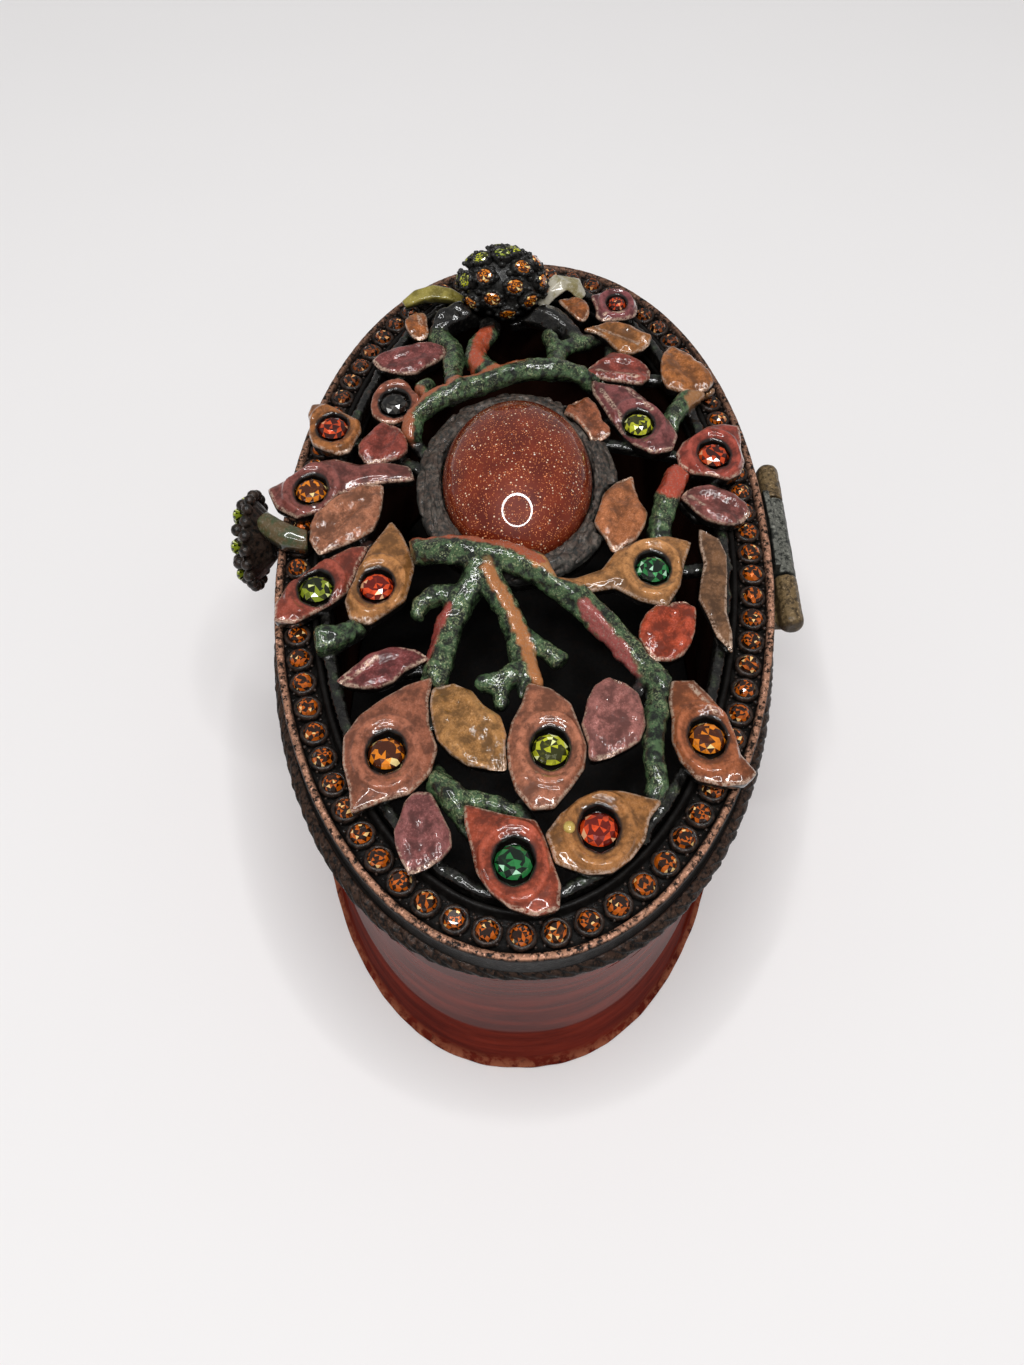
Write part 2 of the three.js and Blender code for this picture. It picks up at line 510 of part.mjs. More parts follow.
// Branches: each is a run of [x share, y share, lift share] with its radius shares.
// Lift 0 beds a branch on the seat and 1 raises it by the arch's rise.
const branches = [
  { name: 'main arch', radiusShares: [0.8, 1, 1, 0.9, 0.75],
    routeShares: [[0.1, -0.53, 0.1], [0.12, -0.4, 0.6], [0.14, -0.25, 1], [0.155, -0.08, 1],
      [0.185, 0.06, 0.9], [0.225, 0.17, 0.5], [0.27, 0.27, 0.2], [0.34, 0.37, 0.1],
      [0.4, 0.46, 0], [0.46, 0.54, 0]] },
  { name: 'far arch', radiusShares: [0.75, 0.85, 0.8, 0.7],
    routeShares: [[-0.26, -0.5, 0], [-0.32, -0.48, 0.35], [-0.36, -0.38, 0.65], [-0.4, -0.22, 0.75],
      [-0.445, -0.05, 0.85], [-0.46, 0.12, 0.85], [-0.465, 0.24, 0.5], [-0.45, 0.33, 0]] },
  { name: 'left fork', radiusShares: [1, 0.9, 0.85, 0.75],
    routeShares: [[0.15, -0.17, 0.9], [0.2, -0.19, 0.6], [0.255, -0.26, 0.25], [0.32, -0.29, 0.1],
      [0.39, -0.31, 0.1], [0.46, -0.33, 0], [0.54, -0.32, -0.3]] },
  { name: 'left hook', radiusShares: [0.7, 0.7, 0.45],
    routeShares: [[0.23, -0.22, 0.4], [0.225, -0.31, 0.4], [0.235, -0.38, 0.3], [0.275, -0.41, 0.1]] },
  { name: 'middle fork', radiusShares: [0.9, 0.8, 0.8, 0.8],
    routeShares: [[0.18, -0.16, 0.8], [0.22, -0.11, 0.5], [0.28, -0.05, 0.25], [0.35, -0.01, 0.1],
      [0.41, 0.01, 0.1], [0.48, 0.04, 0], [0.56, 0.06, -0.3]] },
  { name: 'right stub', radiusShares: [0.6, 0.55, 0.6],
    routeShares: [[0.31, -0.02, 0.2], [0.35, 0.06, 0.2], [0.385, 0.14, 0.1]] },
  { name: 'left stub', radiusShares: [0.6, 0.7, 0.55],
    routeShares: [[0.4, -0.01, 0.1], [0.435, -0.08, 0.2], [0.44, -0.17, 0.1]] },
  { name: 'stub thorn', radiusShares: [0.6, 0.35],
    routeShares: [[0.435, -0.09, 0.15], [0.465, -0.085, 0.1], [0.495, -0.085, 0]] },
  { name: 'right twig', radiusShares: [0.85, 0.85, 0.8],
    routeShares: [[-0.19, 0.66, -0.2], [-0.1, 0.6, 0.15], [-0.03, 0.56, 0.1], [0.05, 0.54, -0.3]] },
  { name: 'far fork', radiusShares: [0.8, 0.7, 0.5],
    routeShares: [[-0.46, 0.1, 0.7], [-0.54, 0.14, 0.3], [-0.59, 0.13, 0.3], [-0.645, 0.09, 0.2]] },
  { name: 'far fork prong', radiusShares: [0.6, 0.6, 0.6],
    routeShares: [[-0.56, 0.14, 0.3], [-0.6, 0.2, 0.2], [-0.64, 0.3, -0.1], [-0.7, 0.4, -0.3]] },
  { name: 'far left fork', radiusShares: [0.9, 0.8, 0.8],
    routeShares: [[-0.43, -0.13, 0.8], [-0.5, -0.22, 0.5], [-0.58, -0.23, 0.3], [-0.64, -0.18, 0.2],
      [-0.7, -0.17, 0], [-0.8, -0.15, -0.35], [-0.87, -0.13, -0.35]] },
  { name: 'far left twig', radiusShares: [0.7, 0.7, 0.8],
    routeShares: [[-0.37, -0.29, 0.9], [-0.44, -0.33, 0.55], [-0.55, -0.33, 0.2], [-0.6, -0.34, 0]] },
  { name: 'cabochon twig', radiusShares: [0.7, 0.5],
    routeShares: [[-0.36, -0.45, 0.4], [-0.41, -0.47, 0.3], [-0.45, -0.43, 0.2]] },
  { name: 'hinge side twig', radiusShares: [0.7, 0.8, 0.6],
    routeShares: [[-0.46, 0.82, -0.1], [-0.43, 0.75, 0.1], [-0.39, 0.69, 0.1], [-0.35, 0.64, 0.1],
      [-0.3, 0.62, -0.3]] },
  { name: 'left bud', radiusShares: [0.6, 0.8, 1.1],
    routeShares: [[0.27, -0.6, -0.3], [0.31, -0.65, 0], [0.335, -0.72, 0.1], [0.34, -0.77, 0.1]] },
  { name: 'near right twig', radiusShares: [0.8, 0.6, 0.6],
    routeShares: [[0.45, 0.5, -0.1], [0.52, 0.465, 0.1], [0.59, 0.45, 0.2], [0.65, 0.465, 0.1],
      [0.71, 0.43, -0.3]] },
  { name: 'near left branch', radiusShares: [0.7, 0.9, 0.7],
    routeShares: [[0.62, -0.33, -0.3], [0.68, -0.27, 0.1], [0.72, -0.2, 0.1], [0.77, -0.15, -0.3]] },
  { name: 'near rod', radiusShares: [0.55, 0.5, 0.5],
    routeShares: [[0.7, -0.22, 0], [0.705, -0.12, 0.1], [0.72, -0.04, 0], [0.74, 0.03, -0.3]] },
  { name: 'berry twig left', radiusShares: [1, 1.2, 0.8],
    routeShares: [[-0.78, -0.16, 0], [-0.73, -0.26, 0.2], [-0.7, -0.36, 0.2], [-0.65, -0.42, 0],
      [-0.6, -0.36, 0]] },
  { name: 'berry twig right', radiusShares: [1.1, 1.1, 0.8],
    routeShares: [[-0.78, -0.12, 0], [-0.73, 0, 0.2], [-0.71, 0.1, 0.2], [-0.67, 0.19, 0],
      [-0.62, 0.23, 0]] },
];

// Rods that carry the leaves from below, just under the seat: runs of [x share, y share]
const rods = [
  [[0, -0.84], [0.06, -0.62], [0.12, -0.45]],
  [[-0.28, -0.78], [-0.22, -0.58], [-0.16, -0.4]],
  [[-0.55, -0.62], [-0.45, -0.55], [-0.3, -0.53], [-0.2, -0.4]],
  [[-0.92, -0.12], [-0.75, -0.16]],
  [[-0.8, 0.42], [-0.66, 0.4], [-0.5, 0.38], [-0.42, 0.4]],
  [[-0.5, 0.74], [-0.5, 0.5], [-0.4, 0.42], [-0.3, 0.3]],
  [[-0.2, 0.85], [-0.24, 0.62], [-0.28, 0.3]],
  [[-0.03, 0.86], [-0.05, 0.68], [-0.12, 0.62]],
  [[0.1, 0.84], [0.12, 0.6], [0.06, 0.42], [-0.02, 0.3]],
  [[0.2, 0.18], [0.16, 0.3], [0.05, 0.42]],
  [[0.3, 0.82], [0.31, 0.72]],
  [[0.1, 0.57], [0.3, 0.54]],
  [[0.6, 0.74], [0.52, 0.62], [0.44, 0.53]],
  [[0.8, 0.48], [0.74, 0.4], [0.76, 0.15], [0.8, 0]],
  [[0.92, 0], [0.8, -0.1], [0.68, 0.02], [0.56, 0.05]],
  [[0.64, -0.64], [0.6, -0.48], [0.52, -0.36]],
  [[0.24, -0.88], [0.18, -0.7], [0.12, -0.5]],
  [[0.38, -0.26], [0.4, -0.45], [0.43, -0.6]],
  [[0.5, -0.3], [0.57, -0.2], [0.57, -0.02]],
  [[0.42, 0.44], [0.5, 0.34], [0.55, 0.2], [0.56, 0.08]],
  [[0.86, -0.36], [0.76, -0.33], [0.68, -0.3]],
  [[-0.72, -0.08], [-0.74, 0.1], [-0.75, 0.3]],
];

function lidPlace([xShare, yShare], z) {
  return new THREE.Vector3(xShare * halfLength, yShare * halfWidth, z);
}

function branchGeometry(branch, grow) {
  const points = branch.routeShares.map((place) => lidPlace(place, limbZ + place[2] * archRise));
  return limbGeometry(points, branch.radiusShares.map((share) => share * limbRadius + grow));
}

// Rods are square and bed the leaves on their flat tops
function rodGeometry(route) {
  const points = route.map((place) => lidPlace(place, seatZ - rodRadius / 2));
  return limbGeometry(points, [rodRadius, rodRadius], 4);
}

// A leaf's outline as points spaced evenly along a closed smooth curve
function leafOutline(leaf) {
  const knots = leaf.outlineShares.map((place) => lidPlace(place, 0));
  const curve = new THREE.CatmullRomCurve3(knots, true);
  const points = curve.getSpacedPoints(leafPoints).slice(0, leafPoints);
  const outline = points.map((point) => new THREE.Vector2(point.x, point.y));
  return THREE.ShapeUtils.isClockWise(outline) ? outline.reverse() : outline;
}

function outlineNormals(outline) {
  return outline.map((point, i) => {
    const before = outline[(i + outline.length - 1) % outline.length];
    const after = outline[(i + 1) % outline.length];
    const along = new THREE.Vector2().subVectors(after, before).normalize();
    return new THREE.Vector2(along.y, -along.x);
  });
}

// Width of an outline across from one of its points, along the inward normal
function widthAcross(outline, i, normal) {
  const from = outline[i];
  let least = Infinity;
  for (let k = 0; k < outline.length; k += 1) {
    const a = outline[k];
    const b = outline[(k + 1) % outline.length];
    if (a !== from && b !== from) {
      const edge = new THREE.Vector2().subVectors(b, a);
      const toA = new THREE.Vector2().subVectors(a, from);
      const across = -normal.x * edge.y + normal.y * edge.x;
      const distance = (toA.x * edge.y - toA.y * edge.x) / across;
      const part = (toA.x * -normal.y + toA.y * normal.x) / across;
      if (distance > 0 && part >= 0 && part <= 1) least = Math.min(least, distance);
    }
  }
  return least;
}

function offsetOutline(outline, inset) {
  const normals = outlineNormals(outline);
  return outline.map((point, i) => {
    const most = inset > 0 ? widthAcross(outline, i, normals[i]) * slopeShare : 0;
    const amount = inset > 0 ? Math.min(inset, most) : inset;
    return point.clone().addScaledVector(normals[i], -amount);
  });
}

// A prism that stands for a leaf grown by the clearance, from the seat upwards
function leafKeepOut(outline) {
  const shape = new THREE.Shape(offsetOutline(outline, -clearance));
  const depth = archRise + leafCrown + overrun;
  const prism = new THREE.ExtrudeGeometry(shape, { depth, bevelEnabled: false });
  return toSolid(prism.translate(0, 0, seatZ));
}

// A crowned leaf: flat below, drawn in under its edge, rising inwards and drooping to its tips
function leafGeometry(outline) {
  const centre = outline.reduce((sum, point) => sum.add(point), new THREE.Vector2());
  centre.divideScalar(outline.length);
  const reach = Math.max(...outline.map((point) => point.distanceTo(centre)));
  const under = offsetOutline(outline, leafUnder);
  const crown = offsetOutline(outline, leafSlope);
  const droop = (point) => leafDroop * (point.distanceTo(centre) / reach) ** 2;
  const points = [
    ...under.map((point) => new THREE.Vector3(point.x, point.y, seatZ)),
    ...outline.map((point) => new THREE.Vector3(point.x, point.y, seatZ + leafEdge)),
    ...crown.map((point) => new THREE.Vector3(point.x, point.y, seatZ + leafCrown - droop(point))),
  ];
  const triangles = bandTriangles(3, outline.length, false);
  const top = 2 * outline.length;
  THREE.ShapeUtils.triangulateShape([...outline], []).forEach(([p, q, r]) => {
    triangles.push(p, r, q, top + p, top + q, top + r);
  });
  return closedGeometry(points, triangles);
}

// The oval recess under a leaf's crystal, open at the top
function recessSolid(place, scale) {
  const radius = leafCrystal / 2 * scale + clearance;
  const depth = leafCrown + overrun;
  const recess = new THREE.CylinderGeometry(radius, radius, depth, crystalFacets).rotateX(Math.PI / 2);
  recess.scale(recessLengthShare, 1, 1);
  const spot = lidPlace(place, seatZ + recessFloor + depth / 2);
  return toSolid(recess.translate(spot.x, spot.y, spot.z));
}

// A round crystal with a flat culet, a girdle and a table
function crystalGeometry(place, scale) {
  const radius = leafCrystal / 2 * scale;
  const girdle = crystalHeight * tableShare;
  const profile = [[0, 0], [radius * tableShare, 0], [radius, girdle],
    [radius * tableShare, crystalHeight], [0, crystalHeight]];
  const spot = lidPlace(place, seatZ + recessFloor);
  return turnedGeometry(profile, crystalFacets).translate(spot.x, spot.y, spot.z);
}

const part = new THREE.Group();

function addNode(name, geometry, color, roughness, metalness) {
  const material = new THREE.MeshStandardMaterial({ color, roughness, metalness });
  const mesh = new THREE.Mesh(geometry, material);
  mesh.name = name;
  part.add(mesh);
}

// Flared body wall, open above and below, with a groove for the rope and a ledge over the base plate
function bodyGeometry() {
  const shoulderZ = ropeBottom - shoulderDrop;
  return ringGeometry(bodyOval, [
    [footInset + wallThickness + clearance, 0],
    [footInset + clearance, 0],
    [footInset, footHeight / 2],
    [footInset + clearance, footHeight],
    [footInset + (waistInset - footInset) / 2, footBand],
    [waistInset, waistHeight],
    [shoulderInset + clearance, shoulderZ],
    [clearance, ropeBottom],
    [grooveInset, ropeBottom],
    [grooveInset, partingZ],
    [mouthInset, partingZ],
    [mouthInset, ropeBottom],
    [waistInset + wallThickness, waistHeight],
    [footInset + wallThickness + floorLedge, plateThickness + floorThickness],
    [footInset + wallThickness + floorLedge, plateThickness],
    [footInset + wallThickness + clearance, plateThickness],
  ]);
}

function plateGeometry() {
  const inset = footInset + wallThickness + 2 * clearance;
  const outline = evenAngles(bodyOval, stations, 0).map((angle) => ovalPoint(bodyOval, angle, inset));
  const shape = new THREE.Shape(outline);
  return new THREE.ExtrudeGeometry(shape, { depth: plateThickness, bevelEnabled: false });
}

// Rope band: slanting scallops round the body, parted for the hinge
function ropeGeometry() {
  const scallops = Math.round(ovalLength(bodyOval, 0) / ropePitch);
  const band = ringGeometry(bodyOval, (i) => {
    const dip = i % 2 === 0 ? 0 : ropeDip;
    const lower = i % 2 === 0 ? ropeDip : 0;
    return [
      [grooveInset - clearance, ropeBottom],
      [lower - ropeProud, ropeBottom + ropeHeight / 4],
      [dip - ropeProud, ropeBottom + 3 * ropeHeight / 4],
      [grooveInset - clearance, ropeBottom + ropeHeight],
    ];
  }, 2 * scallops);
  const reach = halfWidth + ropeProud + overrun;
  const gap = boxSolid(
    new THREE.Vector3(hingeStart - clearance, 0, ropeBottom - overrun),
    new THREE.Vector3(hingeEnd + clearance, reach, partingZ + overrun),
  );
  return toGeometry(toSolid(band).subtract(gap));
}

// Lid casting with the crystals of its channel
function lidRimGeometry() {
  const floorZ = boxHeight - channelDepth;
  const flangeInset = mouthInset + clearance;
  const ledgeInset = channelInset + innerWall;
  const innerInset = ledgeInset + ledgeWidth;
  const rim = ringGeometry(lidOval, [
    [0, partingZ],
    [0, boxHeight - edgeRound],
    [edgeRound, boxHeight],
    [edgeWidth, boxHeight],
    [edgeWidth, floorZ],
    [channelInset, floorZ],
    [channelInset, boxHeight + innerWallRise],
    [ledgeInset, boxHeight + innerWallRise],
    [ledgeInset, boxHeight - ledgeDrop],
    [innerInset, boxHeight - ledgeDrop],
    [innerInset, boxHeight - ledgeDrop - ledgeThickness],
    [flangeInset + flangeThickness, boxHeight - ledgeDrop - ledgeThickness],
    [flangeInset + flangeThickness, partingZ - flangeDrop],
    [flangeInset, partingZ - flangeDrop],
    [flangeInset, partingZ],
  ]);
  const middle = edgeWidth + channelWidth / 2;
  const count = Math.round(ovalLength(lidOval, middle) / crystalPitch);
  const radius = channelCrystal / 2;
  const height = channelDepth + crystalSink;
  const crystals = evenAngles(lidOval, count, middle).map((angle) => {
    const flat = ovalPoint(lidOval, angle, middle);
    const cone = new THREE.CylinderGeometry(radius * tableShare, radius, height, crystalSides);
    cone.rotateX(Math.PI / 2).rotateZ(angle);
    return toSolid(cone.translate(flat.x, flat.y, boxHeight - height / 2));
  });
  return toGeometry(toSolid(rim).add(joined(crystals)));
}

// Openwork: hoop, cabochon tray, rods and branches, trimmed where leaves and the cabochon stand
function frameSolid(keepOuts) {
  const hoop = ringGeometry(lidOval, [
    [hoopInset, boxHeight - ledgeDrop],
    [hoopInset, seatZ - clearance],
    [hoopInset + clearance, seatZ],
    [hoopInset + hoopWidth, seatZ],
    [hoopInset + hoopWidth, boxHeight - ledgeDrop],
  ]);
  const tray = ringGeometry(cabochonOval, [
    [-clearance - nestWidth, seatZ],
    [-clearance - nestWidth, seatZ - trayThickness],
    [trayLip, seatZ - trayThickness],
    [trayLip, seatZ],
  ], stations / 2);
  const low = joined([toSolid(hoop), toSolid(tray), ...rods.map((route) => toSolid(rodGeometry(route)))]);
  const high = joined(branches.map((branch) => toSolid(branchGeometry(branch, 0))));
  const above = boxSolid(
    new THREE.Vector3(-halfLength, -halfWidth, seatZ),
    new THREE.Vector3(halfLength, halfWidth, seatZ + overrun),
  );
  const brim = toSolid(ringGeometry(lidOval, [
    [-overrun, partingZ],
    [hoopInset, partingZ],
    [hoopInset, boxHeight + innerWallRise + clearance],
    [-overrun, boxHeight + innerWallRise + clearance],
  ]));
  const below = boxSolid(
    new THREE.Vector3(-halfLength, -halfWidth, partingZ - overrun),
    new THREE.Vector3(halfLength, halfWidth, boxHeight - ledgeDrop),
  );
  const bed = low.subtract(above);
  return bed.add(high.subtract(joined(keepOuts))).subtract(joined([brim, below]));
}

// Woven nest: a ring whose strands rise and fall round the cabochon
function nestSolid() {
  const ring = ringGeometry(cabochonOval, (i, angle) => {
    const wave = Math.sin(nestTwists * angle) * nestRipple;
    return [
      [-clearance, seatZ],
      [-clearance, seatZ + nestHeight + wave],
      [-clearance - nestWidth / 2, seatZ + nestHeight - wave],
      [-clearance - nestWidth, seatZ + nestHeight / 2 + wave],
      [-clearance - nestWidth, seatZ],
    ];
  }, 4 * nestTwists);
  return toSolid(ring);
}

// Core of the nest, which stays whole where leaves lie over its outer strands
function coreSolid() {
  const height = nestHeight - nestRipple;
  return toSolid(ringGeometry(cabochonOval, [
    [-clearance, seatZ],
    [-clearance, seatZ + height],
    [-clearance - nestCore, seatZ + height],
    [-clearance - nestCore, seatZ],
  ], 4 * nestTwists));
}

// Room for the cabochon and the nest's core, up to a height over the seat
function coreKeepOut(height) {
  const room = turnedGeometry([[0, 0], [1, 0], [1, height], [0, height]], stations);
  const grow = nestCore + 2 * clearance;
  room.scale(cabochonOval.a + grow, cabochonOval.b + grow, 1);
  return toSolid(room.translate(cabochonOval.x, cabochonOval.y, seatZ));
}

function cabochonGeometry(grow) {
  const rise = cabochonDome + grow;
  const profile = [[0, 0], [1, 0], [1, cabochonGirdle]];
  for (let i = 1; i <= cabochonRings; i += 1) {
    const turn = i / cabochonRings * Math.PI / 2;
    profile.push([Math.cos(turn), cabochonGirdle + Math.sin(turn) * rise]);
  }
  profile[profile.length - 1][0] = 0;
  const dome = turnedGeometry(profile, stations / 2);
  dome.scale(cabochonOval.a + grow, cabochonOval.b + grow, 1);
  return dome.translate(cabochonOval.x, cabochonOval.y, seatZ);
}

// A knuckle along X between two places, rounded at one or no end
function knuckleSolid(from, to, capEnd) {
  const length = to - from;
  const rounded = capEnd === 0 ? [[knuckleRadius, length]] : [
    [knuckleRadius, length - knuckleCap],
    [knuckleRadius - knuckleCap / 3, length - knuckleCap / 3],
    [knuckleRadius - knuckleCap, length],
  ];
  const profile = [[0, 0], [knuckleRadius, 0], ...rounded, [0, length]];
  const barrel = turnedGeometry(profile, knuckleSides).rotateY(capEnd < 0 ? -Math.PI / 2 : Math.PI / 2);
  return toSolid(barrel.translate(capEnd < 0 ? to : from, axisY, partingZ));
}

// A curved hinge leaf that follows an oval between two places along X
function hingeLeafSolid(oval, from, to, insetOut, insetIn, lowZ, highZ) {
  const band = ringGeometry(oval, [
    [insetOut, lowZ], [insetIn, lowZ], [insetIn, highZ], [insetOut, highZ],
  ], 2 * stations);
  const window = boxSolid(
    new THREE.Vector3(from, 0, lowZ - overrun),
    new THREE.Vector3(to, axisY + overrun, highZ + overrun),
  );
  return toSolid(band).intersect(window);
}

// The pin's bore, blind at both ends
function boreSolid() {
  const radius = pinRadius + pinClearance;
  const length = hingeEnd - hingeStart - 2 * knuckleCap;
  const bore = new THREE.CylinderGeometry(radius, radius, length, knuckleSides).rotateZ(Math.PI / 2);
  return toSolid(bore.translate((hingeStart + hingeEnd) / 2, axisY, partingZ));
}

function bodyHingeGeometry() {
  const inset = grooveInset - clearance;
  const topZ = partingZ - clearance;
  const outer = inset - hingeLeafThickness;
  const leaf = hingeLeafSolid(bodyOval, hingeStart, hingeEnd, outer, inset, ropeBottom, topZ);
  const webs = [
    [hingeStart + knuckleCap, lidKnuckleStart - clearance],
    [lidKnuckleEnd + clearance, hingeEnd - knuckleCap],
  ];
  const webSolids = webs.map(([from, to]) => boxSolid(
    new THREE.Vector3(from, halfWidth - hingeLeafThickness + clearance, ropeBottom + webDrop),
    new THREE.Vector3(to, axisY, topZ),
  ));
  const knuckles = [
    knuckleSolid(hingeStart, lidKnuckleStart, -1),
    knuckleSolid(lidKnuckleEnd, hingeEnd, 1),
  ];
  return toGeometry(joined([leaf, ...webSolids, ...knuckles]).subtract(boreSolid()));
}

function lidHingeGeometry() {
  const from = lidKnuckleStart + clearance;
  const to = lidKnuckleEnd - clearance;
  const lowZ = partingZ + clearance;
  const outer = -clearance - hingeLeafThickness;
  const leaf = hingeLeafSolid(lidOval, from, to, outer, -clearance, lowZ, boxHeight - edgeRound);
  return toGeometry(leaf.add(knuckleSolid(from, to, 0)).subtract(boreSolid()));
}

function pinGeometry() {
  const length = hingeEnd - hingeStart - 2 * knuckleCap - 2 * clearance;
  const pin = new THREE.CylinderGeometry(pinRadius, pinRadius, length, knuckleSides);
  return pin.rotateZ(Math.PI / 2).translate((hingeStart + hingeEnd) / 2, axisY, partingZ);
}

// Thumb rosette: a flared cup with a beaded edge and a domed face, on a boss against the lid
function rosetteGeometry(grow) {
  const start = halfWidth + ropeProud + clearance;
  const profile = [
    [0, halfWidth + clearance],
    [rosetteBoss, halfWidth + clearance],
    [rosetteBoss, start],
    [rosetteNeck, start],
    [rosetteRadius - rosetteEdge, start + rosetteDepth],
    [rosetteRadius, start + rosetteDepth + rosetteEdge / 2],
    [rosetteRadius - rosetteEdge, start + rosetteDepth + rosetteEdge],
    [rosetteRadius / 2, start + rosetteDepth + rosetteEdge + rosetteDome * domeShoulderShare],
    [0, start + rosetteDepth + rosetteEdge + rosetteDome],
  ].map(([radius, y]) => new THREE.Vector2(radius > 0 ? radius + grow : 0, y));
  const cup = new THREE.LatheGeometry(profile, 2 * rosetteBeads);
  const places = cup.attributes.position;
  for (let i = 0; i < places.count; i += 1) {
    const radius = Math.hypot(places.getX(i), places.getZ(i));
    const turn = Math.atan2(places.getZ(i), places.getX(i));
    const swell = 1 + beadShare * Math.cos(rosetteBeads * turn) * (radius / rosetteRadius) ** 2;
    places.setX(i, places.getX(i) * swell);
    places.setZ(i, places.getZ(i) * swell);
  }
  return cup.rotateX(Math.PI).translate(rosettePlace, 0, boxHeight - rosetteDrop);
}

// Stem that slants over the lid's edge to the rosette, flat where it stands on the copper edge
function stemSolid() {
  const topZ = boxHeight + stemRadius;
  const inner = halfWidth - channelInset + clearance;
  const outer = halfWidth + ropeProud + clearance + rosetteNeck / 2;
  const points = [
    new THREE.Vector3(stemPlace, -inner + stemRadius, topZ),
    new THREE.Vector3(stemPlace, -inner - stemRadius, topZ),
    new THREE.Vector3(stemPlace - stemLean / 2, -halfWidth, topZ + stemLift / 2),
    new THREE.Vector3(stemPlace - stemLean, -outer, topZ + stemLift),
  ];
  const limb = limbGeometry(points, [stemRadius, stemSwell * stemRadius, stemRadius], 2 * limbSides);
  const low = stemPlace - stemLean - 2 * stemRadius;
  const high = stemPlace + 2 * stemRadius;
  const below = boxSolid(
    new THREE.Vector3(low, -outer - overrun, partingZ),
    new THREE.Vector3(high, 0, boxHeight),
  );
  const within = boxSolid(
    new THREE.Vector3(low, -inner, partingZ),
    new THREE.Vector3(high, 0, boxHeight + 2 * overrun),
  );
  return toSolid(limb).subtract(joined([below, within, toSolid(rosetteGeometry(clearance))]));
}

// Berry of small crystal cups on a calyx
function berrySolid(grow) {
  const ball = toSolid(new THREE.IcosahedronGeometry(berryRadius + grow, 1));
  const cups = [];
  const golden = Math.PI * (3 - Math.sqrt(5));
  for (let i = 0; i < cupCount; i += 1) {
    const height = 1 - i / cupCount * cupSpreadShare;
    const round = Math.sqrt(1 - height * height);
    const out = new THREE.Vector3(Math.cos(i * golden) * round, Math.sin(i * golden) * round, height);
    const radius = cupRadius + grow;
    const cup = new THREE.CylinderGeometry(radius, radius, 2 * (cupHeight + grow), limbSides);
    cup.applyQuaternion(new THREE.Quaternion().setFromUnitVectors(THREE.Object3D.DEFAULT_UP, out));
    out.multiplyScalar(berryRadius);
    cups.push(toSolid(cup.translate(out.x, out.y, out.z)));
  }
  const calyx = turnedGeometry([
    [0, -berryRise], [calyxRadius + grow, -berryRise], [calyxRadius / 2 + grow, 0], [0, 0],
  ], 2 * limbSides);
  const below = boxSolid(
    new THREE.Vector3(-berryRadius, -berryRadius, -berryRise - overrun),
    new THREE.Vector3(berryRadius, berryRadius, -berryRise),
  );
  const spot = lidPlace(berryPlaceShare, seatZ + berryRise);
  const solid = joined([ball, ...cups, toSolid(calyx)]).subtract(below);
  return solid.scale([1, berryWidthShare, 1]).translate([spot.x, spot.y, spot.z]);
}

// Room that the berry takes in the openwork
function berryKeepOut() {
  const ball = new THREE.IcosahedronGeometry(berryRadius + cupHeight + 2 * clearance, 1);
  const radius = calyxRadius + clearance;
  const foot = new THREE.CylinderGeometry(radius, radius, berryRise, 2 * limbSides).rotateX(Math.PI / 2);
  const room = toSolid(ball).add(toSolid(foot.translate(0, 0, -berryRise / 2)));
  const spot = lidPlace(berryPlaceShare, seatZ + berryRise);
  return room.scale([1, berryWidthShare, 1]).translate([spot.x, spot.y, spot.z]);
}

// A sepal: a flat tongue from the berry's foot that arches and turns down to the lid
function sepalSolid(routeShares, grow) {
  const points = routeShares.map((place) => lidPlace(place, seatZ + sepalRadius + place[2] * archRise));
  const radii = [sepalRadius / 2, sepalRadius, sepalRadius, sepalRadius / 2].map((radius) => radius + grow);
  return toSolid(limbGeometry(points, radii, limbSides, sepalWidthShare));
}

const sepals = [
  { name: 'sepal_left', routeShares: [[-0.79, -0.3, -0.15], [-0.8, -0.4, 0.05], [-0.795, -0.5, 0.05],
    [-0.77, -0.59, -0.15]] },
  { name: 'sepal_right', routeShares: [[-0.77, 0.06, -0.15], [-0.81, 0.12, 0.3], [-0.83, 0.2, 0.35],
    [-0.81, 0.27, -0.15]] },
];

// Leaves are trimmed by the ones set before them, so that each keeps the clearance
function addLeaves() {
  const keepOuts = [];
  const nestRoom = coreKeepOut(archRise + leafCrown + overrun);
  leaves.forEach((leaf) => {
    const outline = leafOutline(leaf);
    let solid = toSolid(leafGeometry(outline)).subtract(nestRoom);
    keepOuts.forEach((other) => {
      solid = solid.subtract(other);
    });
    if (leaf.crystalShare) {
      const scale = leaf.crystalScale ?? 1;
      solid = solid.subtract(recessSolid(leaf.crystalShare, scale));
      addNode(`crystal_${leaf.name}`, crystalGeometry(leaf.crystalShare, scale), leaf.glass, 0.08, 0);
    }
    addNode(`leaf_${leaf.name}`, toGeometry(solid), leaf.tint, 0.3, 0.35);
    keepOuts.push(leafKeepOut(outline));
  });
  return keepOuts;
}

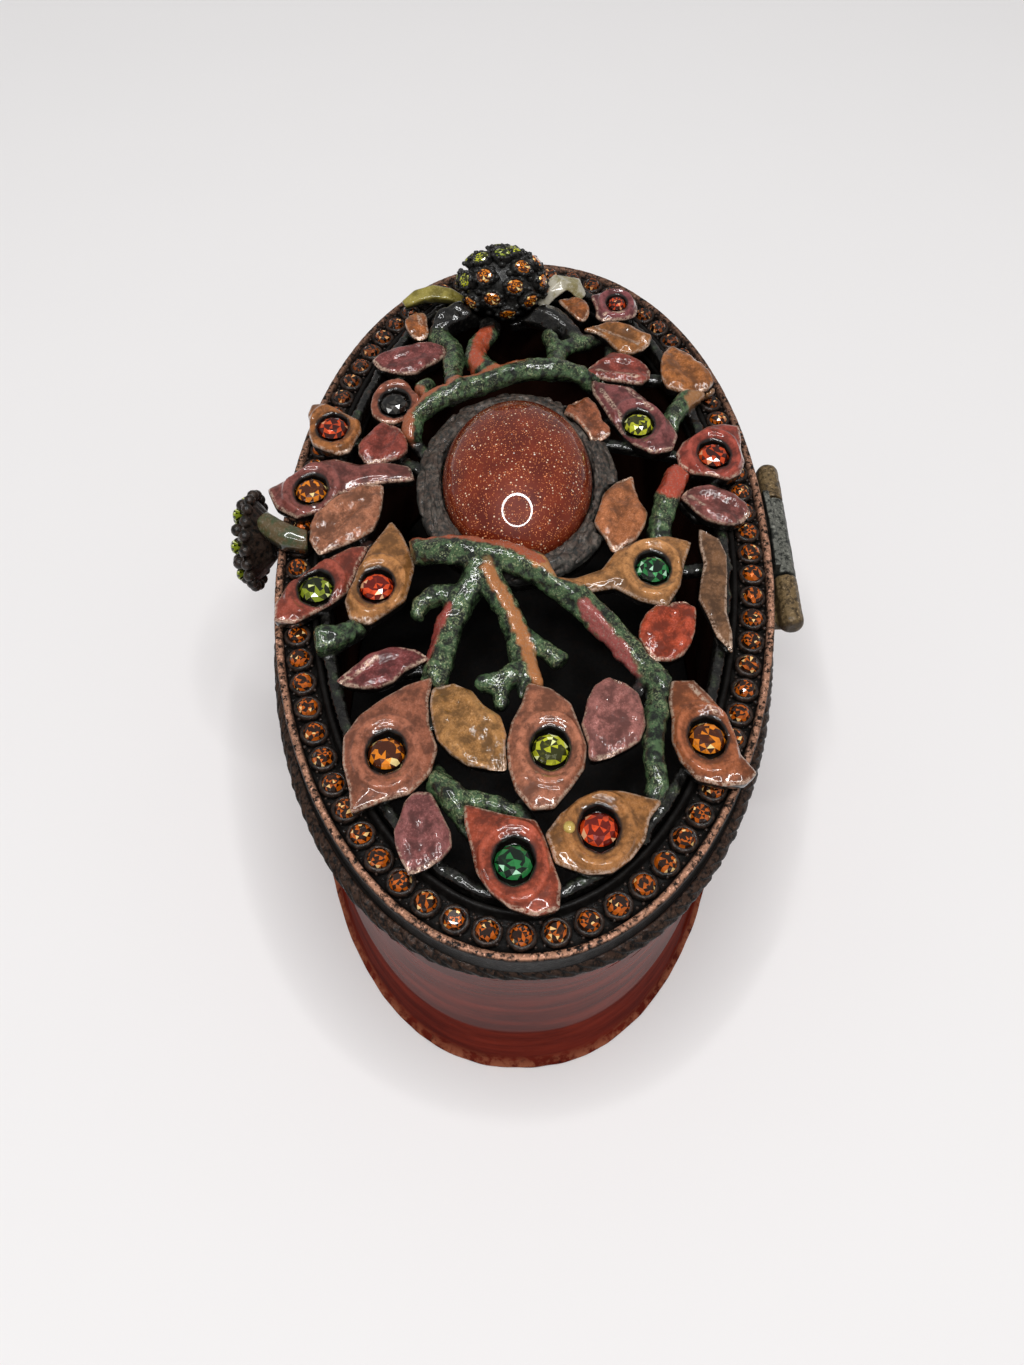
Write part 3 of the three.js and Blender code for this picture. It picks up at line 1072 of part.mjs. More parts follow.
addNode('box_body', bodyGeometry(), 0x5e231b, 0.18, 0.1);
addNode('bottom_plate', plateGeometry(), 0x1c1a19, 0.6, 0.6);
addNode('rope_band', ropeGeometry(), 0x1b1a1a, 0.5, 0.7);
addNode('body_hinge', bodyHingeGeometry(), 0x7d6440, 0.45, 0.9);
addNode('hinge_pin', pinGeometry(), 0x6b5636, 0.4, 0.9);
addNode('lid_hinge', lidHingeGeometry(), 0x2b2a2a, 0.55, 0.7);
addNode('lid_rim', lidRimGeometry(), 0x2a2422, 0.5, 0.7);
const leafKeepOuts = addLeaves();
const frame = frameSolid([
  ...leafKeepOuts,
  toSolid(cabochonGeometry(clearance)),
  coreKeepOut(nestHeight - nestRipple + clearance),
  berryKeepOut(),
  ...sepals.map((sepal) => sepalSolid(sepal.routeShares, clearance)),
]);
addNode('branch_frame', toGeometry(frame), 0x2c3327, 0.4, 0.5);
const archKeepOuts = branches.map((branch) => toSolid(branchGeometry(branch, clearance)));
const strands = nestSolid().subtract(joined([...leafKeepOuts, ...archKeepOuts]));
const nest = strands.add(coreSolid());
addNode('cabochon_nest', toGeometry(nest), 0x3a3a3a, 0.55, 0.6);
addNode('goldstone_cabochon', cabochonGeometry(0), 0x6e2a1a, 0.08, 0.2);
addNode('thumb_rosette', rosetteGeometry(0), 0x161817, 0.45, 0.6);
const stem = stemSolid().subtract(joined(leafKeepOuts));
addNode('thumb_stem', toGeometry(stem), 0x4c5236, 0.3, 0.4);
addNode('berry', toGeometry(berrySolid(0)), 0x151515, 0.4, 0.5);
sepals.forEach((sepal) => {
  const solid = sepalSolid(sepal.routeShares, 0).subtract(berrySolid(clearance));
  addNode(sepal.name, toGeometry(solid), 0x8c8438, 0.25, 0.1);
});

export default part;
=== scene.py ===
"""Dresses an enamelled oval trinket box: wall, rope, rim, openwork, leaves, crystals, hinge and studio."""

import logging
import math
import random
from dataclasses import dataclass, field
from enum import Enum
from typing import Callable, Sequence

import bmesh
import bpy
from mathutils import Matrix, Vector, noise
from mathutils.bvhtree import BVHTree


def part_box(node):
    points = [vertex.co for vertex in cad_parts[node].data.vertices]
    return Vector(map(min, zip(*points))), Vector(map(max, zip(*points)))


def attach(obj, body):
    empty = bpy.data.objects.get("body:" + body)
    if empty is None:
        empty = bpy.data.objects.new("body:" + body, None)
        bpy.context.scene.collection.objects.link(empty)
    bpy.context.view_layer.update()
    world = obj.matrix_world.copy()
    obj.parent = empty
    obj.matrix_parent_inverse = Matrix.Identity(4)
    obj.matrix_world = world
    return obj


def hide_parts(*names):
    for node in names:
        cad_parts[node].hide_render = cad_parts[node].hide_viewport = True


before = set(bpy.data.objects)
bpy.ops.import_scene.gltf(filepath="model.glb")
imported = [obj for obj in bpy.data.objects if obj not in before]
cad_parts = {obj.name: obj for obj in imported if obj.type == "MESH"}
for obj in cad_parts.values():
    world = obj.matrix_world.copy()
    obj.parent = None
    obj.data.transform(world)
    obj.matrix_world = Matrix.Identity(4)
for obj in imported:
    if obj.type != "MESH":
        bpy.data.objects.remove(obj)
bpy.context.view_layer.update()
LOG = logging.getLogger("trinket_box")
MM = 0.001
ROUND = 2 * math.pi
NOISE_SEED = 1

Colour = tuple[float, float, float]
Profile = Sequence[tuple[float, float]]
Socket = bpy.types.NodeSocket


class Body(Enum):
    """The two bodies that pieces ride on."""

    BOX = "box"
    LID = "lid"


class Sheen(Enum):
    """How strongly a leaf's enamel breaks up the light."""

    PEARL = 0.5
    GLITTER = 1.0


def srgb(code: int) -> Colour:
    """Linear colour of an sRGB code written as 0xRRGGBB."""
    channels = [(code >> shift & 255) / 255 for shift in (16, 8, 0)]
    return tuple(c / 12.92 if c <= 0.04045 else ((c + 0.055) / 1.055) ** 2.4 for c in channels)


def scaled(colour: Colour, factor: float, lift: float = 0.0) -> Colour:
    """A linear colour multiplied by a factor and lifted, kept at or below 1."""
    return tuple(min(1.0, channel * factor + lift) for channel in colour)


def smoothstep(low: float, high: float, value: float) -> float:
    """Smooth ramp from 0 at low to 1 at high."""
    share = min(max((value - low) / (high - low), 0.0), 1.0)
    return share * share * (3 - 2 * share)


def bell(value: float, middle: float, width: float) -> float:
    """A bell curve of height 1 round a middle."""
    return math.exp(-(((value - middle) / width) ** 2))


@dataclass(frozen=True)
class Oval:
    """A superellipse in plan whose near half may be rounder, with outlines parallel to it."""

    half_length: float
    half_width: float
    power: float
    near_power: float
    x: float = 0.0
    y: float = 0.0

    def point(self, angle: float, inset: float) -> Vector:
        """Point of the outline at a turn, moved inwards along its normal.

        Args:
            angle: Turn in radians.
            inset: Distance inwards.

        Returns:
            The point in plan.
        """
        c, s = math.cos(angle), math.sin(angle)
        power = self.near_power if c > 0 else self.power
        x = self.half_length * math.copysign(abs(c) ** (2 / power), c)
        y = self.half_width * math.copysign(abs(s) ** (2 / power), s)
        nx = math.copysign(abs(x / self.half_length) ** (power - 1), c) / self.half_length
        ny = math.copysign(abs(y / self.half_width) ** (power - 1), s) / self.half_width
        size = math.hypot(nx, ny)
        return Vector((self.x + x - nx / size * inset, self.y + y - ny / size * inset))

    def even_angles(self, count: int, inset: float = 0.0) -> list[float]:
        """Angles that share the outline into equal lengths.

        Args:
            count: How many.
            inset: Distance inwards of the outline that is shared.

        Returns:
            The angles, from 0 round to a full turn, with the full turn as the last.
        """
        fine = 2880
        points = [self.point(ROUND * i / fine, inset) for i in range(fine + 1)]
        lengths = [0.0]
        for before, after in zip(points, points[1:]):
            lengths.append(lengths[-1] + (after - before).length)
        angles, at = [], 0
        for k in range(count):
            want = lengths[-1] * k / count
            while lengths[at + 1] < want:
                at += 1
            part = (want - lengths[at]) / (lengths[at + 1] - lengths[at])
            angles.append(ROUND * (at + part) / fine)
        return [*angles, ROUND]

    def length(self, inset: float = 0.0) -> float:
        """Length of the outline at an inset."""
        points = [self.point(ROUND * i / 720, inset) for i in range(721)]
        return sum((after - before).length for before, after in zip(points, points[1:]))

    def around(self, share: float, across: float) -> Vector:
        """A place on a closed band as long as the outline, where noise joins up at its ends."""
        radius = (self.half_length + self.half_width) / 2
        return Vector((math.cos(ROUND * share) * radius, math.sin(ROUND * share) * radius, across))


RIM_LOW, RIM_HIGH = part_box("lid_rim")
PLATE_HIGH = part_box("bottom_plate")[1]
BODY_LOW, BODY_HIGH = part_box("box_body")
LEAF_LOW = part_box("leaf_gold_left")[0]
CABOCHON_LOW, CABOCHON_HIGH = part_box("goldstone_cabochon")
HINGE_LOW, HINGE_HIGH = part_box("body_hinge")
BODY_OVAL = Oval(RIM_HIGH.x, RIM_HIGH.y, 2.18, 2.18)
LID_OVAL = Oval(RIM_HIGH.x, RIM_HIGH.y, 2.18, 2.0)
CABOCHON_MIDDLE = (CABOCHON_LOW + CABOCHON_HIGH) / 2
CABOCHON_HALF = (CABOCHON_HIGH - CABOCHON_LOW) / 2
CABOCHON_OVAL = Oval(CABOCHON_HALF.x, CABOCHON_HALF.y, 2.0, 2.0, CABOCHON_MIDDLE.x, CABOCHON_MIDDLE.y)
PARTING = BODY_HIGH.z
SEAT = LEAF_LOW.z
EDGE_TOP = SEAT - 0.8 * MM


class Nodes:
    """A node tree of one material, with short calls to add and join its nodes."""

    def __init__(self, name: str) -> None:
        """Start an empty material.

        Args:
            name: The material's name.
        """
        self.material = bpy.data.materials.new(name)
        self.material.use_nodes = True
        self.tree = self.material.node_tree
        self.shader = self.tree.nodes["Principled BSDF"]
        self.places = self.add("ShaderNodeTexCoord").outputs["Object"]

    def add(self, kind: str, **settings: object) -> bpy.types.Node:
        """Add a node.

        Args:
            kind: Blender's name of the node type.
            **settings: Properties to set on it.

        Returns:
            The node.
        """
        node = self.tree.nodes.new(kind)
        for key, value in settings.items():
            setattr(node, key, value)
        return node

    def join(self, output: Socket, socket: Socket) -> None:
        """Join an output to an input."""
        self.tree.links.new(output, socket)

    def plain(self, **values: object) -> None:
        """Set the shader's own sockets, whose names are given with underscores."""
        for key, value in values.items():
            self.shader.inputs[key.replace("_", " ")].default_value = value

    def coat(self, weight: float, rough: float, index: float = 1.5) -> None:
        """Cover the finish with a clear glossy layer, and take the gloss of the layer below away."""
        self.plain(Coat_Weight=weight, Coat_Roughness=rough, Coat_IOR=index, Specular_IOR_Level=0.15)

    def noise(
        self, size: float, detail: float = 3.0, rough: float = 0.5,
        stretch: tuple[float, float, float] | None = None,
    ) -> Socket:
        """Noise whose features have about a real size.

        Args:
            size: Feature size in metres.
            detail: Octaves.
            rough: Roughness of the octaves.
            stretch: Scale of the coordinates on each axis; below 1 draws the features out.

        Returns:
            The noise's factor.
        """
        node = self.add("ShaderNodeTexNoise")
        node.inputs["Scale"].default_value = 1 / size
        node.inputs["Detail"].default_value = detail
        node.inputs["Roughness"].default_value = rough
        source = self.places
        if stretch is not None:
            mapping = self.add("ShaderNodeMapping")
            mapping.inputs["Scale"].default_value = stretch
            self.join(self.places, mapping.inputs["Vector"])
            source = mapping.outputs["Vector"]
        self.join(source, node.inputs["Vector"])
        return node.outputs["Fac"]

    def cells(self, size: float) -> tuple[Socket, Socket]:
        """Cells of about a real size, as in flakes of mica.

        Args:
            size: Cell size in metres.

        Returns:
            A random value for each cell, and the distance from the cell's middle.
        """
        node = self.add("ShaderNodeTexVoronoi")
        node.inputs["Scale"].default_value = 1 / size
        self.join(self.places, node.inputs["Vector"])
        split = self.add("ShaderNodeSeparateColor")
        self.join(node.outputs["Color"], split.inputs[0])
        return split.outputs[0], node.outputs["Distance"]

    def ramp(self, factor: Socket, low: float, high: float, flip: bool = False) -> Socket:
        """Smooth ramp of a factor.

        Args:
            factor: What is mapped.
            low: Where the ramp starts.
            high: Where it ends.
            flip: Whether it falls.

        Returns:
            The mapped factor.
        """
        node = self.add("ShaderNodeMapRange", interpolation_type="SMOOTHSTEP")
        self.join(factor, node.inputs["Value"])
        node.inputs["From Min"].default_value = low
        node.inputs["From Max"].default_value = high
        node.inputs["To Min"].default_value = 1.0 if flip else 0.0
        node.inputs["To Max"].default_value = 0.0 if flip else 1.0
        return node.outputs["Result"]

    def mix(self, factor: Socket, first: Socket | Colour, second: Socket | Colour) -> Socket:
        """Blend two colours.

        Args:
            factor: Share of the second.
            first: Colour or socket at 0.
            second: Colour or socket at 1.

        Returns:
            The blended colour.
        """
        node = self.add("ShaderNodeMix", data_type="RGBA")
        self.join(factor, node.inputs[0])
        for socket, value in ((node.inputs[6], first), (node.inputs[7], second)):
            if isinstance(value, tuple):
                socket.default_value = (*value, 1.0)
            else:
                self.join(value, socket)
        return node.outputs[2]

    def math(self, operation: str, first: Socket, second: Socket | float) -> Socket:
        """Arithmetic on a factor.

        Args:
            operation: Blender's name of it.
            first: First value.
            second: Second value, a number or a socket.

        Returns:
            The result.
        """
        node = self.add("ShaderNodeMath", operation=operation)
        self.join(first, node.inputs[0])
        if isinstance(second, float):
            node.inputs[1].default_value = second
        else:
            self.join(second, node.inputs[1])
        return node.outputs[0]

    def times(self, first: Socket, second: Socket | float) -> Socket:
        """Product of two factors."""
        return self.math("MULTIPLY", first, second)

    def attribute(self, name: str, output: str = "Fac") -> Socket:
        """Factor or colour of a painted attribute."""
        return self.add("ShaderNodeAttribute", attribute_name=name).outputs[output]

    def height(self) -> Socket:
        """Height above the table.

        Returns:
            The height in metres.
        """
        node = self.add("ShaderNodeSeparateXYZ")
        self.join(self.places, node.inputs[0])
        return node.outputs["Z"]

    def bump(self, height: Socket, depth: float, strength: float = 1.0) -> None:
        """Bump the surface, on top of any bump before.

        Args:
            height: Height factor.
            depth: Real depth of a full step, in metres.
            strength: Strength of the effect.
        """
        node = self.add("ShaderNodeBump")
        node.inputs["Strength"].default_value = strength
        node.inputs["Distance"].default_value = depth
        self.join(height, node.inputs["Height"])
        normal = self.shader.inputs["Normal"]
        if normal.is_linked:
            self.join(normal.links[0].from_socket, node.inputs["Normal"])
        self.join(node.outputs["Normal"], normal)

    def wobble_coat(self, height: Socket, depth: float) -> None:
        """Give the clear layer its own slow waves.

        Args:
            height: Height factor.
            depth: Real depth of a full step, in metres.
        """
        node = self.add("ShaderNodeBump")
        node.inputs["Distance"].default_value = depth
        self.join(height, node.inputs["Height"])
        self.join(node.outputs["Normal"], self.shader.inputs["Coat Normal"])

    def colour(self, output: Socket) -> None:
        """Give the shader its colour."""
        self.join(output, self.shader.inputs["Base Color"])

    def roughness(self, low: float, high: float, factor: Socket) -> None:
        """Give the shader a roughness that runs from low to high with a factor."""
        self.join(self.math("ADD", self.times(factor, high - low), low), self.shader.inputs["Roughness"])

    def metallic(self, output: Socket) -> None:
        """Give the shader its share of bare metal."""
        self.join(output, self.shader.inputs["Metallic"])


@dataclass(frozen=True)
class BodyEnamel:
    """Glossy red-brown enamel brushed round a cast wall, worn to copper at the foot, dull inside."""

    base: Colour = srgb(0x77281A)
    deep: Colour = srgb(0x4A140D)
    inside: Colour = srgb(0x3A2018)
    copper: Colour = srgb(0x9A5C42)
    pit: Colour = srgb(0x14100E)

    def material(self) -> bpy.types.Material:
        """Make the material.

        Returns:
            The material.
        """
        n = Nodes("body_enamel")
        n.coat(0.3, 0.03)
        n.plain(Specular_IOR_Level=0.0)
        brushed = (0.16, 0.16, 1.0)
        line = n.math("ADD", n.height(), n.times(n.noise(6 * MM, 2.0, 0.5, brushed), 2.0 * MM))
        gloss = n.times(n.ramp(line, 10.2 * MM, 11.0 * MM), 0.27)
        n.join(n.math("ADD", gloss, 0.05), n.shader.inputs["Coat Weight"])
        clouds = n.ramp(n.noise(2.4 * MM, 4.0, 0.6, brushed), 0.3, 0.75)
        enamel = n.mix(clouds, self.deep, self.base)
        foot = n.ramp(n.height(), 0.5 * MM, 6 * MM, flip=True)
        enamel = n.mix(n.times(foot, 0.5), enamel, self.deep)
        worn = n.times(n.attribute("worn"), n.ramp(n.noise(1.6 * MM, 4.0, 0.65), 0.4, 0.6))
        pits = n.times(n.attribute("worn"), n.ramp(n.noise(2.2 * MM, 4.0, 0.7), 0.58, 0.68))
        outer = n.mix(pits, n.mix(worn, enamel, self.copper), self.pit)
        inner = n.attribute("inner")
        colour = n.mix(inner, outer, self.inside)
        n.colour(n.mix(n.ramp(n.height(), PARTING - 2.5 * MM, PARTING - 2.3 * MM), colour, self.pit))
        n.roughness(0.35, 0.85, inner)
        ripples = n.noise(1.5 * MM, 2.0, 0.5, brushed)
        n.bump(ripples, 0.02 * MM, 0.5)
        n.wobble_coat(n.noise(2.6 * MM, 3.0, 0.45, (0.22, 0.22, 1.0)), 0.05 * MM)
        return n.material


@dataclass(frozen=True)
class AntiqueMetal:
    """Dark antique casting, with paler metal rubbed through on what is painted as worn."""

    name: str
    dark: Colour = srgb(0x100E0D)
    light: Colour = srgb(0x2E2926)
    worn: Colour = srgb(0xC99478)
    rough: float = 0.4
    grain: float = 0.3 * MM
    depth: float = 0.12 * MM
    coat: float = 0.15
    specular: float = 0.25

    def material(self) -> bpy.types.Material:
        """Make the material.

        Returns:
            The material.
        """
        n = Nodes(self.name)
        n.plain(Coat_Weight=self.coat, Coat_Roughness=0.12, Specular_IOR_Level=self.specular)
        patches = n.ramp(n.noise(1.1 * MM, 5.0, 0.65), 0.45, 0.8)
        base = n.mix(patches, self.dark, self.light)
        speckle = n.ramp(n.noise(0.55 * MM, 5.0, 0.7), 0.4, 0.56)
        rubbed = n.times(n.attribute("worn"), speckle)
        bright = n.ramp(n.noise(0.32 * MM, 2.0), 0.55, 0.7)
        metal = n.mix(bright, scaled(self.worn, 0.7), scaled(self.worn, 1.35, 0.08))
        n.colour(n.mix(rubbed, base, metal))
        n.metallic(n.math("ADD", n.times(patches, 0.3), n.times(rubbed, 0.2)))
        n.roughness(self.rough - 0.15, self.rough + 0.2, n.noise(0.7 * MM, 3.0))
        n.bump(n.noise(self.grain, 4.0, 0.6), self.depth, 0.6)
        return n.material


@dataclass(frozen=True)
class LeafEnamel:
    """Pearly enamel with mica flakes over a hammered casting, its edges rubbed pale, its crests and flakes
    painted pale as sheen and glints, and its sides and hollow near-black: dark metal with painted shade.
    """

    name: str
    tint: Colour
    sheen: Sheen
    # The sides: the casting's dark metal, with painted shade under the leaf's edge.
    side: Colour = srgb(0x14100E)
    edge: Colour = srgb(0xCDB09A)
    # The hollow round the crystal: dark setting metal, with painted shade in the recess.
    hollow: Colour = srgb(0x120C09)

    def material(self) -> bpy.types.Material:
        """Make the material.

        Returns:
            The material.
        """
        n = Nodes(self.name)
        n.coat(1.0, 0.02)
        deep, pale = scaled(self.tint, 0.36), scaled(self.tint, 1.4, 0.06)
        # Raised crests are painted paler: a painted sheen, as pearly enamel catches the light.
        sheen_colour = scaled(self.tint, 1.65, 0.02)
        clouds = n.mix(n.ramp(n.noise(1.6 * MM, 5.0, 0.65), 0.38, 0.64), deep, scaled(self.tint, 0.98))
        sheen_share = n.times(n.attribute("crest_sheen"), n.ramp(n.noise(0.9 * MM, 5.0, 0.7), 0.36, 0.6))
        clouds = n.mix(n.times(sheen_share, 0.55), clouds, sheen_colour)
        flake = n.cells(0.15 * MM)[0]
        shimmer = n.ramp(n.noise(1.6 * MM, 5.0, 0.72), 0.42, 0.68)
        # The pale flakes are painted glints, helped by some metal; the dull flakes are their own darker tone.
        glint = n.times(n.times(n.ramp(flake, 0.45, 1.0), shimmer), 0.95 * self.sheen.value)
        dull = n.times(n.ramp(flake, 0.0, 0.4, flip=True), 0.35 * self.sheen.value)
        enamel = n.mix(dull, n.mix(glint, clouds, pale), deep)
        rubbed = n.times(n.attribute("edge"), n.ramp(n.noise(0.4 * MM, 5.0, 0.7), 0.42, 0.58))
        top = n.mix(rubbed, enamel, self.edge)
        # Sides and hollow are painted near-black: dark metal with painted shade.
        bare = n.math("MAXIMUM", n.attribute("side"), n.attribute("hollow"))
        n.colour(n.mix(bare, top, self.side))
        n.metallic(n.times(n.math("MAXIMUM", glint, rubbed), 0.5))
        n.roughness(0.25, 0.5, n.noise(0.5 * MM, 3.0))
        n.bump(n.noise(0.8 * MM, 4.0, 0.6), 0.16 * MM, 0.2 + 0.6 * self.sheen.value)
        n.bump(flake, 0.02 * MM, 0.4 * self.sheen.value)
        n.wobble_coat(n.noise(1.1 * MM, 3.0), 0.16 * self.sheen.value ** 2 * MM)
        return n.material


@dataclass(frozen=True)
class BranchEnamel:
    """Green-grey enamel with a pale speckle over bark, heavier on upward faces as painted sheen, and the
    coloured strips painted on it.
    """

    dark: Colour = srgb(0x141A14)
    green: Colour = srgb(0x486240)
    speckle: Colour = srgb(0xA3AC80)
    bare: Colour = srgb(0x100F0E)
    bare_light: Colour = srgb(0x34322E)

    def material(self) -> bpy.types.Material:
        """Make the material.

        Returns:
            The material.
        """
        n = Nodes("branch_enamel")
        n.coat(1.0, 0.03)
        green = n.mix(n.ramp(n.noise(1.1 * MM, 4.0, 0.7), 0.42, 0.62), self.dark, self.green)
        fine = n.ramp(n.noise(0.26 * MM, 4.0, 0.75), 0.5, 0.66)
        patchy = n.ramp(n.noise(2.2 * MM, 3.0), 0.35, 0.62)
        # Pale speckle, more of it on upward faces: real speckle with painted sheen on the tops.
        shot = n.mix(n.times(n.times(fine, patchy), n.attribute("speckle_and_upward_sheen")), green, self.speckle)
        strip = n.attribute("strip", "Color")
        strip = n.mix(n.times(fine, 0.35), strip, scaled((0.5, 0.42, 0.34), 1.0))
        tops = n.mix(n.attribute("painted"), shot, strip)
        bare = n.mix(n.ramp(n.noise(0.7 * MM, 4.0, 0.7), 0.45, 0.75), self.bare, self.bare_light)
        n.colour(n.mix(n.attribute("low"), tops, bare))
        n.metallic(n.times(n.math("MAXIMUM", fine, n.attribute("low")), 0.35))
        n.roughness(0.2, 0.5, n.noise(0.6 * MM, 3.0))
        n.bump(n.noise(0.6 * MM, 4.0, 0.65), 0.26 * MM, 0.8)
        n.wobble_coat(n.noise(1.0 * MM, 3.0), 0.1 * MM)
        return n.material


@dataclass(frozen=True)
class Goldstone:
    """Polished rust-brown glass full of copper flakes, with pale and white painted glints among them."""

    glass: Colour = srgb(0x5C190B)
    warm: Colour = srgb(0x7A2B13)
    copper: Colour = srgb(0xD9824C)
    # Colour of the painted glints.
    spark: Colour = srgb(0xFFE2C0)

    def material(self) -> bpy.types.Material:
        """Make the material.

        Returns:
            The material.
        """
        n = Nodes("goldstone")
        n.coat(1.0, 0.015)
        n.plain(Roughness=0.4)
        colour = n.mix(n.ramp(n.noise(3 * MM, 3.0), 0.3, 0.7), self.glass, self.warm)
        # Copper flakes, then pale and white cells that are painted glints.
        for size, least, reach, tint in (
            (0.17 * MM, 0.66, 0.42, self.copper), (0.24 * MM, 0.8, 0.36, scaled(self.copper, 1.35, 0.05)),
            (0.36 * MM, 0.78, 0.34, self.spark), (0.8 * MM, 0.84, 0.17, (1.0, 1.0, 0.96)),
        ):
            value, distance = n.cells(size)
            core = n.ramp(distance, reach * 0.55, reach, flip=True)
            lit = n.times(n.ramp(value, least, least + 0.12), core)
            colour = n.mix(lit, colour, tint)
        n.colour(colour)
        return n.material


@dataclass(frozen=True)
class CutCrystal:
    """Foiled cut glass: each facet is painted with its own reflection, deep, bright or a flash."""

    name: str
    deep: Colour
    bright: Colour
    flash: Colour

    def material(self) -> bpy.types.Material:
        """Make the material.

        Returns:
            The material.
        """
        n = Nodes(self.name)
        n.coat(1.0, 0.01, 1.6)
        n.plain(Roughness=0.2, Metallic=0.15)
        # Each facet's painted reflection: deep, bright or a flash.
        facet = n.attribute("facet")
        veil = n.math("SUBTRACT", n.times(n.noise(0.5 * MM, 2.0), 0.5), 0.25)
        body = n.mix(n.ramp(n.math("ADD", facet, veil), 0.25, 0.85), self.deep, self.bright)
        n.colour(n.mix(n.ramp(facet, 0.9, 0.97), body, self.flash))
        n.bump(n.noise(2.5 * MM, 1.0), 0.02 * MM, 0.2)
        return n.material


@dataclass(frozen=True)
class GlossEnamel:
    """Smooth glossy enamel that clouds from one colour to another, with painted shade underneath."""

    name: str
    first: Colour
    second: Colour
    patch: float = 2.0 * MM
    # Colour of the painted shade on the underside.
    under: Colour = srgb(0x15130F)

    def material(self) -> bpy.types.Material:
        """Make the material.

        Returns:
            The material.
        """
        n = Nodes(self.name)
        n.coat(1.0, 0.05)
        clouds = n.mix(n.ramp(n.noise(self.patch, 4.0, 0.6), 0.4, 0.6), self.first, self.second)
        speckle = n.times(n.ramp(n.noise(0.28 * MM, 4.0, 0.7), 0.5, 0.7), 0.5)
        lit = n.mix(speckle, clouds, scaled(self.second, 1.3, 0.12))
        # The underside is painted near-black: painted shade.
        n.colour(n.mix(n.attribute("under"), lit, self.under))
        n.roughness(0.15, 0.45, n.noise(1.2 * MM, 3.0))
        n.bump(n.noise(1.2 * MM, 3.0), 0.1 * MM, 0.5)
        return n.material


@dataclass(frozen=True)
class Floor:
    """Pale matt paper."""

    paper: Colour = (0.86, 0.845, 0.845)

    def material(self) -> bpy.types.Material:
        """Make the material.

        Returns:
            The material.
        """
        n = Nodes("paper")
        n.plain(Roughness=0.9, Specular_IOR_Level=0.1)
        n.colour(n.mix(n.noise(30 * MM, 4.0), scaled(self.paper, 0.985), self.paper))
        return n.material


def add_object(
    name: str, bm: bmesh.types.BMesh, smooth: bool = True, outward: bool = True
) -> bpy.types.Object:
    """Turn a bmesh into an object of the scene.

    Args:
        name: The object's name.
        bm: Its mesh, which is freed.
        smooth: Whether its faces are shaded smooth.
        outward: Whether its normals are worked out again.

    Returns:
        The object.
    """
    if outward:
        bmesh.ops.recalc_face_normals(bm, faces=bm.faces)
    for face in bm.faces:
        face.smooth = smooth
    mesh = bpy.data.meshes.new(name)
    bm.to_mesh(mesh)
    bm.free()
    obj = bpy.data.objects.new(name, mesh)
    bpy.context.scene.collection.objects.link(obj)
    return obj


def dress(obj: bpy.types.Object, material: bpy.types.Material) -> None:
    """Give an object one finish."""
    obj.data.materials.clear()
    obj.data.materials.append(material)


def settle(obj: bpy.types.Object, body: Body, material: bpy.types.Material, *nodes: str) -> None:
    """Give a finished piece its body, its finish and the nodes that it stands for.

    Args:
        obj: The piece.
        body: What it rides on.
        material: Its finish.
        *nodes: The nodes that it replaces.
    """
    dress(obj, material)
    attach(obj, body.value)
    if nodes:
        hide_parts(*nodes)
    LOG.info("%s: %d faces", obj.name, len(obj.data.polygons))


def paint(obj: bpy.types.Object, name: str, value: Callable[[Vector, Vector], float]) -> None:
    """Paint on each vertex the factor that its place and normal give."""
    layer = obj.data.attributes.new(name, "FLOAT", "POINT")
    layer.data.foreach_set("value", [value(vertex.co, vertex.normal) for vertex in obj.data.vertices])


def spun_ring(
    oval: Oval, profile: Profile, steps: int, low: float = 0.0, high: float = 1.0,
    shape: Callable[[float, float, float], tuple[float, float]] | None = None,
) -> bmesh.types.BMesh:
    """Spin a closed profile round an oval.

    Args:
        oval: The oval that it follows.
        profile: Points as (inset, height).
        steps: Steps in the turn.
        low: Share of the outline where it starts.
        high: Share of the outline where it ends.
        shape: Changes the inset and height of a point at a share of the outline.

    Returns:
        The ring's mesh.
    """
    reach = 1.0
    angles = oval.even_angles(steps)
    bm = bmesh.new()
    verts = [bm.verts.new((reach - inset, 0.0, z)) for inset, z in profile]
    edges = [bm.edges.new((a, b)) for a, b in zip(verts, [*verts[1:], verts[0]])]
    full = high - low >= 1.0
    count = max(3, round(steps * (high - low)))
    bmesh.ops.rotate(bm, verts=verts, cent=(0, 0, 0), matrix=Matrix.Rotation(ROUND * low, 3, "Z"))
    bmesh.ops.spin(
        bm, geom=[*verts, *edges], cent=(0, 0, 0), axis=(0, 0, 1), dvec=(0, 0, 0), angle=ROUND * (high - low),
        steps=count, use_merge=full, use_duplicate=False,
    )
    if not full:
        bmesh.ops.holes_fill(bm, edges=[edge for edge in bm.edges if edge.is_boundary], sides=0)
    for vertex in bm.verts:
        inset, z = reach - math.hypot(vertex.co.x, vertex.co.y), vertex.co.z
        share = math.atan2(vertex.co.y, vertex.co.x) / ROUND % 1.0
        if shape is not None:
            inset, z = shape(share, inset, z)
        at = share * steps
        before = min(int(at), steps - 1)
        angle = angles[before] + (angles[before + 1] - angles[before]) * (at - before)
        flat = oval.point(angle, inset)
        vertex.co = (flat.x, flat.y, z)
    return bm


